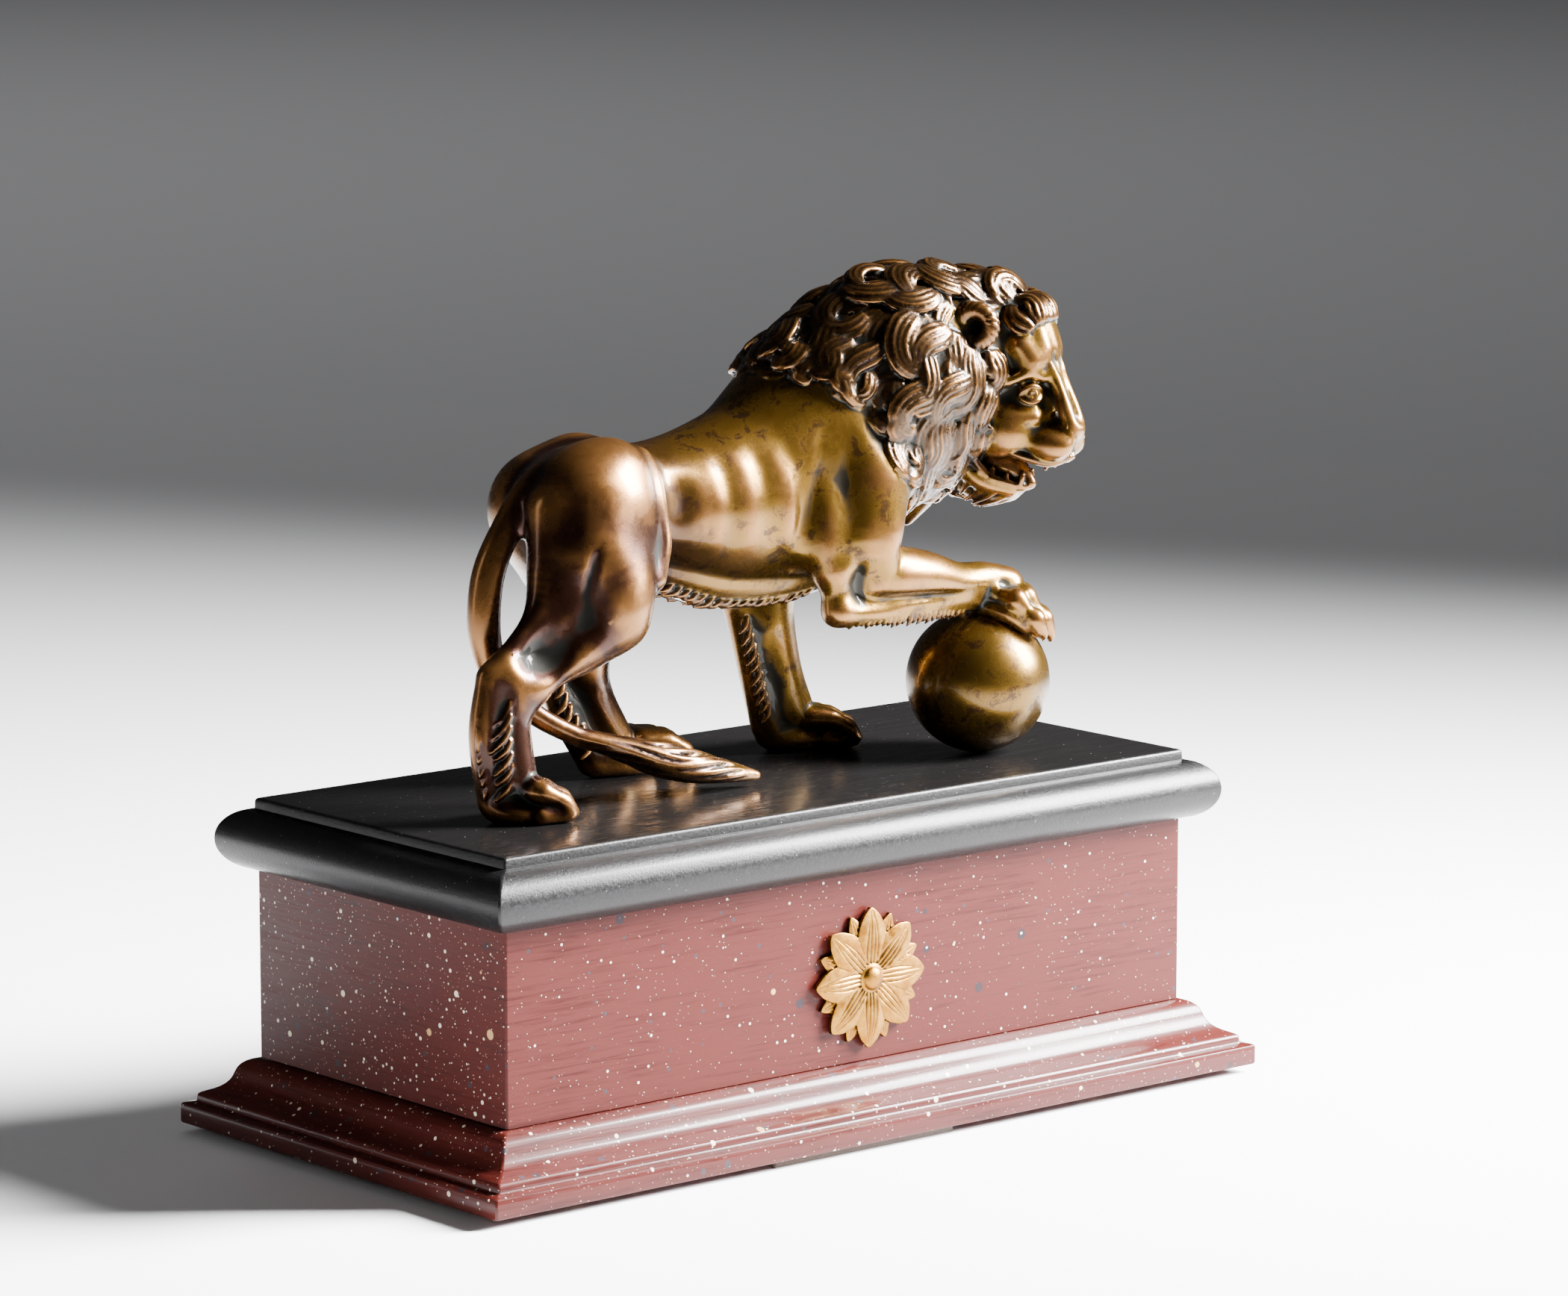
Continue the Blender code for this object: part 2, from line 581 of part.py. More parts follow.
def felts():
    """Lays a strip under the middle of each side."""
    half_length = DIE_LENGTH / 2 + BASE_PROFILE[1][0]
    half_width = DIE_WIDTH / 2 + BASE_PROFILE[1][0]
    side_y = half_width - FELT_INSET - FELT_WIDE / 2
    end_x = half_length - END_FELT_INSET - FELT_WIDE / 2
    felt("felt_front", FELT_MIDDLE_X, -side_y, FELT_LONG, FELT_WIDE)
    felt("felt_back", FELT_MIDDLE_X, side_y, FELT_LONG, FELT_WIDE)
    felt("felt_right_end", end_x, 0, FELT_WIDE, END_FELT_LONG)
    felt("felt_left_end", -end_x, 0, FELT_WIDE, END_FELT_LONG)


def clear():
    """Empties the scene."""
    for item in list(bpy.data.objects):
        bpy.data.objects.remove(item)


def main():
    clear()
    lion()
    ball()
    plinth()
    rosette()
    felts()


if __name__ == "__main__":
    main()
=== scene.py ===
"""Looks of a cabinet bronze: a standing lion with one forepaw on a ball, on a painted wooden plinth.

The lion, ball and rosette are modelled in millimetres and scaled to metres when they are finished.
Heights of the lion and the ball are measured from the top of the plinth.
"""

import math
import random

import bmesh
import bpy
import numpy as np
from mathutils import Euler, Matrix, Vector
from mathutils.bvhtree import BVHTree


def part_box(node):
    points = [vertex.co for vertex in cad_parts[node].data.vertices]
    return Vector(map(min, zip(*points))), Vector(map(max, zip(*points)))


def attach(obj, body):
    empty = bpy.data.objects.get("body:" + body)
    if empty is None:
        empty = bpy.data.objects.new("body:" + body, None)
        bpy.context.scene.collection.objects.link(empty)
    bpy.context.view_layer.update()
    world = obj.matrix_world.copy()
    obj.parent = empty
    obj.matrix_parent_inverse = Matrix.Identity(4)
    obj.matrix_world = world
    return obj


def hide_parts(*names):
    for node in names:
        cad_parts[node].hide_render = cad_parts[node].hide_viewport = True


bl_info = {
    "name": "Bronze lion on a plinth",
    "version": (1, 0, 0),
    "blender": (4, 5, 0),
    "location": "3D View > Sidebar > Lion",
    "description": "Casts, carves and paints a small bronze lion with a ball and its wooden plinth",
    "category": "Object",
}

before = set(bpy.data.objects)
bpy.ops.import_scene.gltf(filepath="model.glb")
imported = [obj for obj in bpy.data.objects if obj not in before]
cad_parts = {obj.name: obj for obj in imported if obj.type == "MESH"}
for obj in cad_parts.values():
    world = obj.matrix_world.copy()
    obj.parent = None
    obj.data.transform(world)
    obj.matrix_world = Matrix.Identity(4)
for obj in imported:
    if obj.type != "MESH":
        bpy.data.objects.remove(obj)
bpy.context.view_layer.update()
MM = 0.001
BODY = "root"
PLINTH_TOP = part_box("plinth_cap")[1][2] / MM
DIE_LOW, DIE_HIGH = (Vector(corner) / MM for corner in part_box("plinth_die"))
BASE_LOW = Vector(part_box("plinth_base")[0]) / MM
CAP_LOW = Vector(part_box("plinth_cap")[0]) / MM
BALL_LOW, BALL_HIGH = (Vector(corner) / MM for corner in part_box("ball"))
ROSETTE_LOW, ROSETTE_HIGH = (Vector(corner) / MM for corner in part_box("rosette"))

# Ball, mm above the plinth
BALL_RADIUS = (BALL_HIGH.x - BALL_LOW.x) / 2
BALL_PLACE = Vector((
    (BALL_LOW.x + BALL_HIGH.x) / 2, (BALL_LOW.y + BALL_HIGH.y) / 2, BALL_HIGH.z - BALL_RADIUS - PLINTH_TOP))
PAW_GAP = 0.05

# Paint spatter as spacing in mm, share of it that a fleck fills, share of flecks kept, colour
SPATTER = (
    (7.0, 0.16, 0.75, "#2E2428"), (12.0, 0.12, 0.75, "#241A1E"), (1.4, 0.15, 0.7, "#8A6458"),
    (1.9, 0.13, 0.7, "#A89C8E"), (2.9, 0.14, 0.75, "#B8AE9E"), (4.8, 0.13, 0.75, "#C4BAA8"),
    (9.0, 0.1, 0.55, "#C8BCA4"), (17.0, 0.085, 0.5, "#A8845A"),
)

# Fineness of the lion's forms and surface, mm, what one piece may hold, and where lion and ball are cut flat
FORM_STEP = 3.0
ROUGH_VOXEL = 1.0
SKIN_VOXEL = 0.8
FINAL_VOXEL = 0.42
LION_TRIANGLES = 190000
FLAT_CUT = 0.02

# How softly forms run into one another, mm
SOFT = 7.0
FIRM = 4.0
CRISP = 1.8
SHARP = 1.0

# Trunk from rump to breast as x, y, z of the middle, half height, half width
TRUNK = (
    (-66, 2, 88, 13, 15), (-52, 0, 87, 18.5, 18.5), (-36, 0, 86, 18, 19), (-22, 0, 84.5, 21, 20.5),
    (-6, 0, 84.5, 25.5, 22.5), (12, 0, 87, 30, 24), (28, 0, 87.5, 31, 23), (42, -1, 87, 28, 19),
    (52, -3, 86, 22, 14),
)
TRUNK_DEPTH = 9
KEEL = ((-40, 0, 72, 6), (-22, 0, 66, 9), (-6, 0, 61.5, 10), (12, 0, 60.5, 10.5), (30, 0, 62, 10))

# Limbs from the trunk to the foot as x, y, z, radius, by how softly they join what they meet
SOFT_LIMBS = {
    "right shoulder blade": ((24, -14, 112, 6), (31, -18, 101, 9), (36, -21, 90, 11)),
    "right upper arm": ((37, -22, 88, 12.5), (33, -23.5, 73, 11.5), (33, -24.5, 62, 7.5)),
    "right triceps": ((15, -15, 96, 7), (16, -20, 78, 8.5), (20, -23.5, 64, 5.5)),
    "left shoulder blade": ((24, 14, 112, 6), (30, 18, 100, 9), (34, 21, 88, 11)),
    "left upper arm": ((34, 20, 88, 12.5), (30, 21, 70, 12), (28, 21, 54, 10.5)),
    "left triceps": ((15, 15, 94, 7), (16, 20, 76, 9), (21, 21, 60, 8)),
    "left forearm": ((30, 21, 54, 10.5), (32, 21, 40, 9.5), (37, 20.5, 24, 7.8), (41, 20, 12, 8)),
    "neck": ((26, 0, 102, 24), (48, -4, 112, 25), (72, -12, 116, 22)),
    "right thigh": ((-62, -11, 89, 15), (-65, -15, 76, 14.5), (-62, -18.5, 65, 12.5), (-60, -20, 57, 9.5)),
    "right thigh front": ((-53, -10, 96, 11), (-53, -14, 82, 11), (-56, -18, 68, 9.5)),
    "right shank": ((-62, -20, 58, 10.5), (-71, -19, 50.5, 9), (-84, -18, 44, 6.4), (-97, -17, 41, 5.6)),
    "left thigh": ((-60, 12, 86, 15), (-54, 15, 74, 14.5), (-46, 18.5, 62, 12), (-40, 20, 54, 10)),
    "left thigh front": ((-50, 11, 96, 11), (-46, 14.5, 82, 11), (-43, 18, 68, 9.5)),
    "left shank": ((-40, 20, 55, 10.5), (-40, 20, 46, 9), (-44, 20, 38, 8)),
    "left metatarsus": ((-42, 20, 42, 8), (-38, 20, 26, 7.2), (-30, 20, 11, 7.2)),
    "chest mane": ((66, -14, 96, 13), (66, -11, 84, 8), (64, -9, 74, 3)),
}
FIRM_LIMBS = {
    "right forearm": (
        (34, -24.5, 60, 7), (43, -25, 59.5, 8.8), (56, -25, 57.6, 8.2),
        (70, -24.5, 54.2, 6.6), (82, -24, 53.6, 6), (90, -25.5, 51.6, 6)),
    "right elbow": ((21, -24, 62, 5), (23, -25, 51, 4.4)),
    "right forearm bone": (
        (22, -25, 50, 4.2), (35, -26.5, 49, 3.6), (50, -26.5, 48.5, 3.2), (66, -25.5, 48, 3),
        (80, -24.5, 47.5, 2.6)),
    "right shoulder ridge": ((26, -17, 114, 2), (30, -23, 104, 2.6), (35, -28, 92, 3)),
    "right arm muscle": ((40, -29, 84, 3.6), (37, -31, 74, 4), (36, -30, 66, 3)),
    "left forearm back": ((21, 20, 46, 4.5), (26, 20, 28, 4.6), (32, 20, 9, 5)),
    "left shoulder ridge": ((25, 17, 113, 2), (29, 23, 103, 2.6), (34, 28, 91, 3)),
    "right thigh edge": (
        (-44, -13, 102, 2), (-42.5, -19, 92, 2.4), (-42.5, -22, 80, 2.4), (-47, -24, 67, 2.6)),
    "left thigh edge": ((-42, 13, 102, 2), (-38.5, 19, 91, 2.4), (-36, 22.5, 78, 2.4), (-36, 25, 64, 2.6)),
    "right shin bone": (
        (-60, -23, 58, 3.4), (-74, -23.5, 49, 3.2), (-89, -21.5, 40.5, 2.8), (-95, -20, 34, 3)),
    "right hamstring": ((-74, -10, 88, 9), (-78, -13, 72, 7.4), (-86, -16, 58, 4.4), (-100, -17, 45.5, 3.6)),
    "right calf": ((-72, -15, 74, 9), (-75, -16.5, 63, 7.6), (-83, -17, 52, 5.4)),
    "right metatarsus": ((-98, -17, 43, 6), (-98, -18, 28, 6.2), (-97, -19, 12, 6.8)),
    "right hock back": ((-105, -17, 43, 3.4), (-106.5, -17, 26, 4.6), (-103, -17, 7, 5)),
    "left hock back": ((-54, 20, 39, 4), (-49, 20, 24, 4.6), (-37, 20, 6, 5)),
    "tail": (
        (-64, 0, 98, 5), (-76, 0, 92.5, 5), (-85, 0, 82, 4.6), (-91, 0, 71, 4.9),
        (-93, 0, 60, 5), (-92.5, 0, 50, 4.8), (-89, -1, 39, 4), (-80, -6, 28.5, 3.3),
        (-68, -11, 21, 3), (-54, -15, 16, 3.4), (-38, -18, 10.5, 4.4), (-20, -21, 6, 3.6),
        (-8, -22.6, 3.4, 1.6)),
}

# Round masses as centre, radii and turn in degrees
MASSES = {
    "right hip": ((-61, -9, 89), (16.5, 13.5, 17), (0, 0, 0)),
    "left hip": ((-61, 12, 85), (17, 14, 17), (0, 0, 0)),
    "right hock front": ((-91, -18, 38), (5, 5.5, 6), (0, 0, 0)),
    "mane over withers": ((36, 0, 112), (21, 22.5, 21), (0, -18, 0)),
    "mane over neck": ((58, -7, 121), (31, 25, 28), (0, 0, -12)),
    "mane crest": ((70, -10, 129.5), (20, 20, 19.5), (0, 0, -20)),
    "mane behind crown": ((86, -15, 127), (20.5, 18.5, 20.5), (0, 0, -25)),
    "mane right side": ((52, -19, 106), (17, 10.5, 22), (0, 12, 0)),
    "mane left side": ((48, 16, 107), (18, 11.5, 23), (0, 12, 0)),
}
# Hollows as centre, radii and turn in degrees
HOLLOWS = {
    "right flank": ((-34, -27.5, 89), (5.5, 9, 11), (0, 0, 0)),
    "left flank": ((-30, 27.5, 89), (5.5, 9, 11), (0, 0, 0)),
    "right hock hollow": ((-91, -26, 48.5), (6, 4, 3.4), (0, 25, 0)),
    "right arm crook": ((27, -36, 58), (2.2, 4.6, 4), (0, 30, 0)),
    "right shank hollow": ((-88, -27.6, 54), (6, 4, 3), (0, 35, 0)),
    "behind right shoulder": ((11.4, -30, 82), (2.6, 6, 17), (0, 8, 0)),
    "behind left shoulder": ((11.4, 30, 82), (2.6, 6, 17), (0, 8, 0)),
}
# Sharper creases, in the same way
CREASES = {
    "along the raised forearm": ((52, -34.5, 52.4), (30, 5, 1.5), (0, 3, 0)),
    "between thigh and hamstring": ((-74.5, -30.2, 68), (1.5, 5, 12), (0, 12, 0)),
    "across the wrist": ((84, -31.5, 50), (1.4, 3.4, 4), (0, 20, 0)),
    "behind the elbow": ((28, -33, 58), (1.6, 5, 7), (0, -12, 0)),
}
# Ribs that show through the flank: spacing, height, and their reach along the body and up, mm
RIB_PITCH = 12.5
RIB_HEIGHT = 0.38
RIB_SPAN = (-24, 12)
RIB_RISE = (68, 106)

# Head: the nose tip, the way the face looks, and places as forward, left and up from the nose
NOSE = Vector((102.0, -48.0, 100.9))
FACE_TURN = -65.0
HEAD_MASSES = {
    "skull": ((-33, 0, 16), (17, 15.5, 15)),
    "forehead": ((-17, 0, 23), (8, 10.5, 10)),
    "forehead hair": ((-19.5, 1, 31), (8, 9.5, 7.5)),
    "middle of face": ((-20.5, 0, 6), (12, 10.6, 9)),
    "nose tip": ((-3.6, 0, 0.3), (3.6, 4.4, 2.7)),
    "right whisker pad": ((-10.5, -4.6, -4.2), (8.6, 5.6, 5.6)),
    "left whisker pad": ((-10.5, 4.6, -4.2), (8.6, 5.6, 5.6)),
    "right cheek": ((-25, -9.5, 0.5), (10.5, 7, 9)),
    "left cheek": ((-25, 9.5, 0.5), (10.5, 7, 9)),
    "throat": ((-38, 0, -6), (9, 10, 15)),
}
# Forms of the head that come in pairs, as forward, left, up and radius, for the left side
HEAD_PAIRS = {
    "nose bridge": (
        (-9.8, 2.5, 19, 1.8), (-7.6, 2.7, 12.5, 2.2), (-5.2, 2.9, 6.5, 2.4), (-3.6, 2.9, 2.4, 2.3)),
    "forehead boss": ((-12.4, 3.8, 20, 2.4), (-12.6, 4.6, 25, 3), (-14.8, 4.6, 30, 3)),
    "brow": ((-9.8, 3.2, 19, 1.5), (-11.4, 5.6, 16.4, 1.7), (-14.2, 9.4, 18.2, 1.8), (-20, 13.4, 15.6, 1.6)),
    "brow dome": ((-15.4, 7.4, 22, 4.6), (-17.6, 8.4, 26, 4.4)),
    "cheek bone": ((-13.5, 8.2, 4.2, 2.2), (-19, 11.4, 4.6, 2.6), (-27, 14, 6, 2.6)),
    "jaw": ((-38, 9.5, -9, 4.5), (-31, 8, -15.6, 3.6), (-23, 3.4, -18.6, 2.8)),
    "beard": ((-24.6, 1, -20, 3), (-31, 2, -20.6, 3.8), (-37, 2, -17, 4.8)),
}
FOREHEAD_RIDGE = ((-8.2, 0, 13, 1.4), (-9.8, 0, 19, 1.5), (-10.6, 0, 25, 1.5), (-13.4, 0, 32, 1.4))
# Hollows of the head in pairs: eye socket, hollow beside the bridge, furrow, temple
HEAD_PITS = {
    "eye socket": ((-12.4, 8.6, 11.6), (3.0, 4.2, 3.2)),
    "beside the bridge": ((-9.4, 5.8, 9.8), (3.6, 1.8, 3.8)),
    "brow furrow": ((-9.4, 1.9, 20.5), (1.8, 0.8, 3)),
    "temple": ((-18, 14.4, 21.5), (3.6, 2, 3.6)),
}
MOUTH = ((-17, 0, -12.6), (13, 7.6, 3.9))
THROAT_PIT = ((-26, 0, -11), (7.5, 10, 5.4))
# Details of the face in pairs, laid on afterwards: nostrils, lips and teeth
FACE_PAIRS = {
    "nostril wing": ((-5.6, 3.8, -0.4, 1.2), (-3.2, 4.6, -0.4, 1.2), (-1.8, 3.4, -2.2, 0.8)),
    "upper lip": ((-4.6, 1.2, -8.2, 1.3), (-9, 5.6, -9.6, 1.5), (-16, 9.2, -7.8, 1.5), (-24, 12, -4.8, 1.3)),
    "mouth corner": (
        (-24, 12, -4.8, 1.3), (-29, 12.6, -4.6, 1.3), (-31.6, 11.8, -8.6, 1.4), (-28, 9, -14.8, 1.4)),
    "lower lip": ((-28, 9, -14.8, 1.4), (-23, 6, -16.6, 1.3), (-19.4, 2, -18, 1.9), (-18.4, 0.8, -17, 1.2)),
    "upper canine": ((-10.4, 4, -9, 1.2), (-10.8, 3.9, -11, 0.9), (-11.2, 3.7, -12.2, 0.5)),
    "lower canine": ((-19.6, 3.8, -17, 1.1), (-18.8, 3.9, -14.8, 0.9), (-18.6, 3.8, -13.4, 0.5)),
    "front teeth": ((-18.2, 1.4, -17, 0.8), (-18, 1.4, -15.2, 0.6)),
    "side teeth": ((-23.4, 6.4, -16, 1.1), (-23, 6.2, -14.2, 0.8)),
    "back teeth": ((-27.4, 8.2, -14.4, 1.2), (-27, 8, -12.4, 0.9)),
    "chin hair": ((-21, 1, -19.6, 1.1), (-25, 1.6, -22, 1.3), (-30, 2, -23.6, 1.2), (-33.6, 1.6, -25, 0.5)),
    "second chin hair": (
        (-22, 3.6, -19.2, 1.1), (-26, 4.2, -21.4, 1.3), (-31, 4.4, -23.2, 1.2), (-34.6, 4, -24.4, 0.5)),
    "cheek hair": ((-24.6, 6.4, -18, 1.1), (-29, 6.8, -20.6, 1.3), (-34.4, 6, -23.4, 0.6)),
    "second cheek hair": ((-27.4, 8.6, -16.6, 1.1), (-31.4, 8.2, -19.4, 1.3), (-36, 7, -22.4, 0.6)),
    "lower cheek hair": ((-30, 10.6, -13, 1.1), (-34, 10, -16.4, 1.3), (-37.6, 8, -20.4, 0.6)),
    "upper cheek hair": ((-33, 12.4, -9, 1.1), (-36.6, 11.6, -13, 1.3), (-39.6, 10, -17.6, 0.6)),
}
TONGUE = ((-34, 0, -9.6, 5), (-25, 0, -12.2, 5), (-20.4, 0, -14.6, 3.4), (-18, 0, -17, 2.2))
EYE_PLACE = (-15.6, 7.4, 11.4)
EYE_RADIUS = 3.9
EYE_BLEND = 0.3
EYE_OUTWARD = math.radians(42)
LID_REACH = math.radians(68)
UPPER_LID = math.radians(40)
LOWER_LID = math.radians(-34)
EAR_PLACE = Vector((-27.5, 21.5, 33))
EAR_RADIUS = 5.0
EAR_RIM = 2.3
EAR_FACING = 78
EAR_TUFTS = 21
# Cup behind an ear's rim as way along the ear, distance from its axis, radius
EAR_CUP = ((0, EAR_RADIUS, EAR_RIM - 0.3), (-4, EAR_RADIUS - 0.5, EAR_RIM), (-9, EAR_RADIUS - 1.5, EAR_RIM))
# Tufts on top of the forehead: root in the head's frame, how far each leans sideways, and its length
CROWN_TUFTS = (
    ((-14, -9.6, 32), -0.5, 13), ((-12, -5.6, 34), -0.15, 15), ((-11, -1.6, 34.5), 0.3, 14),
    ((-11, 2.4, 34.5), -0.25, 15), ((-12, 6.2, 34), 0.2, 14), ((-14, 10, 32), 0.5, 13),
)

# Planted paws as heel middle, direction in degrees, length and width; each has four toes
TOES = 4
PAWS = {
    "right hind": ((-106, -19, 0), -6, 28.5, 21),
    "left hind": ((-38, 21, 0), 2, 40, 21),
    "left fore": ((30, 20, 0), -4, 36, 22),
}

# Raised paw: its way over the ball, how far apart the toes are in mm, and pads, sole and claw of a toe as
# angle above level in degrees, distance from the ball's middle, radius
PAW_TURN = math.radians(-36)
TOE_PITCH = 6
TOE_BENDS = (
    ((90, 29.4, 4.4), (80, 30.8, 4.1), (70, 29.6, 3.1), (61, 29.8, 4), (52, 27.8, 2.8), (44, 27.6, 3.7),
     (37, 26, 2.6)),
    ((80, 25.4, 3.4), (62, 25, 3), (46, 24.4, 2.6)),
    ((38, 28, 1.5), (32, 27, 1.3), (27, 25, 0.6)),
)

# Mane: the line that the locks spring from, from face to withers
MANE_LINE = ((92, -25, 116), (76, -14, 118), (58, -7, 116), (42, -2, 110), (28, 0, 106))
FACE_EDGE = ((-30, -38), (-12, -34), (0, -29), (14, -27.5), (26, -25.5), (34, -24), (40, -22))
EAR_CLEAR = 6.6
# Locks that frame the face, for both sides: root and flow in the head's frame, length and rise
FRAME_LOCKS = (
    ((-24, 4, 38), (-1, 0.25, 0.1), 20, 3.0),
    ((-24, 11, 36), (-1, 0.5, 0), 19, 3.4),
    ((-29, 14, 40), (-1, 0.6, -0.1), 20, 3.0),
    ((-36, 18, 34), (-1, 0.3, -0.6), 22, 2.6),
    ((-37, 19, 25), (-0.7, 0.1, -1), 22, 3.0),
    ((-29.5, 15, 24), (-0.25, 0.1, -1), 17, 2.6),
    ((-31, 16, 15), (-0.35, 0, -1), 19, 3.2),
    ((-33, 15.5, 6), (-0.45, 0, -1), 18, 2.8),
    ((-36, 14.5, -3), (-0.6, 0, -1), 17, 2.6),
    ((-38, 12, -12), (-0.8, -0.1, -1), 15, 2.2),
)
# Hair starts in front of these places along the body, by height above the plinth
MANE_EDGE = ((60, 54), (76, 50), (84, 45), (92, 41), (100, 36), (110, 31), (118, 20), (124, 4), (132, -4))
# Layers of locks: rows, locks in a row, least and most rise over the skin, length and strands
MANE_LAYERS = ((10, 18, 0.4, 1.2, 18, 5), (9, 15, 2.0, 4.2, 22, 5))
MANE_SPREAD = 155.0
MANE_FOOT = 66.0
STRAND_RADIUS = 1.0
STRAND_PITCH = 1.8
LOCK_POINTS = 18
SHORTEST_LOCK = 7
TAIL_STRANDS = 14

# Fringes of short tufts: the line they spring from, the way they point, length, number and radius
FRINGES = {
    "belly, right": (
        ((-36, -4, 66.6), (-22, -6.4, 60.4), (-6, -7.2, 55.4), (12, -7.6, 54.4), (29, -7.2, 55.4)),
        (-0.93, 0.1, -0.34), 7.5, 21, 1.1),
    "belly, left": (
        ((-36, 4, 66.6), (-22, 6.4, 60.4), (-6, 7.2, 55.4), (12, 7.6, 54.4), (29, 7.2, 55.4)),
        (-0.93, -0.1, -0.34), 7.5, 21, 1.1),
    "raised forearm": (
        ((23, -28, 48.8), (38, -29, 47.8), (54, -29, 47.4), (72, -27.6, 47.2)),
        (-0.3, 0.25, -0.9), 3.8, 24, 0.85),
    "right hock": (
        ((-101, -22.5, 38), (-102, -23.5, 25), (-101, -23.5, 12)), (-0.62, 0.15, -0.76), 8, 7, 1.3),
    "right heel": (((-107, -19, 40), (-110, -19, 28), (-107.4, -19, 13)), (-0.1, -0.05, -1), 7, 8, 1.2),
    "left hock": (((-53, 15.5, 38), (-49, 15, 24), (-40, 15, 12)), (-0.62, -0.15, -0.76), 7, 7, 1.2),
    "left foreleg": (((20, 15.5, 46), (24.5, 15, 30), (29, 15, 14)), (-0.5, -0.1, -0.85), 6.5, 10, 1.2),
}

# Rosette: petals of each ring as number, reach and half width in mm, first angle, rise at root and tip
PETAL_RINGS = ((8, 20.4, 3.6, 0.47, 0.6, 1.9), (8, 21.4, 5.7, 0.0, 1.4, 2.9))
BOSS_RADIUS = 4.1
ROSETTE_VOXEL = 0.17
ROSETTE_TRIANGLES = 120000

# Camera, and lamps as place, what they aim at, width and height in metres, spread in degrees, watts and
# whether metal mirrors them; then the strength of the light all round and half the floor's width in metres
CAMERA_PLACE = Vector((-1.19207, -1.42687, 0.449))
CAMERA_LOOK = Vector((0.639385, 0.751273, -0.163634))
LAMPS = {
    "key softbox": ((1.12, -0.70, 0.88), (0, 0, 0.12), (0.6, 0.9), 70, 105, True),
    "left reflector": ((-1.3, 0.55, 0.5), (0, 0, 0.15), (0.25, 1.1), 180, 3, True),
    "back light": ((1.2, 3.2, 3.0), (1.2, 3.0, 0), (3.5, 3.5), 180, 28, False),
}
SURROUNDINGS = 0.06
FLOOR_REACH = 12

# Mouldings as outset from the die's faces and height, mm: the base, and the slab on top of the cap
BASE_PROFILE = (
    (16.6, 2.5), (17.2, 2.7), (17.44, 3.2), (17.44, 8.1), (17.2, 8.6), (16.7, 8.85), (14.3, 9.2),
    (13.95, 9.6), (13.9, 11.0), (13.6, 11.7), (13.0, 12.1), (11.6, 12.7), (10.2, 13.3), (8.8, 14.1),
    (7.6, 15.1), (6.7, 16.3), (6.1, 17.6), (5.7, 18.8), (5.2, 20.0), (4.4, 21.1), (3.3, 22.0), (2.0, 22.6),
    (0.6, 22.9),
)
CAP_SLAB = 3.3
CAP_OUTSET = 0.3
# Steps round a moulding's nose and round an upright edge, and the bend from which an edge looks sharp
NOSE_STEPS = 32
CORNER_STEPS = 6
SHARP_BEND = math.radians(35)
# How much varnish lies on the moulding and on the die
BASE_VARNISH = 0.22
DIE_VARNISH = 0.05


def linear(hex_colour):
    """Turns an sRGB hex colour into linear light with full alpha."""
    shares = [int(hex_colour[start:start + 2], 16) / 255 for start in (1, 3, 5)]
    light = [share / 12.92 if share <= 0.04045 else ((share + 0.055) / 1.055) ** 2.4 for share in shares]
    return (*light, 1.0)


def add_node(tree, kind, inputs, out=0, stops=(), **settings):
    """Adds a shader node with its inputs, settings and colour stops, and gives one of its outputs."""
    item = tree.nodes.new("ShaderNode" + kind)
    for name, value in settings.items():
        setattr(item, name, value)
    for socket, value in inputs.items():
        if isinstance(value, bpy.types.NodeSocket):
            tree.links.new(value, item.inputs[socket])
        else:
            item.inputs[socket].default_value = value
    for number, (place, colour) in enumerate(stops):
        element = item.color_ramp.elements[number] if number < 2 else item.color_ramp.elements.new(place)
        element.position, element.color = place, colour
    return item.outputs[out]


def per_mm(size):
    """Gives the scale at which a pattern repeats about every so many millimetres."""
    return 1 / (size * MM)


def new_material(name, **values):
    """Starts a material and gives it, its tree and its shader with the plain values set."""
    material = bpy.data.materials.new(name)
    material.use_nodes = True
    tree = material.node_tree
    shader = tree.nodes["Principled BSDF"]
    for socket, value in values.items():
        shader.inputs[socket.replace("_", " ")].default_value = value
    return material, tree, shader


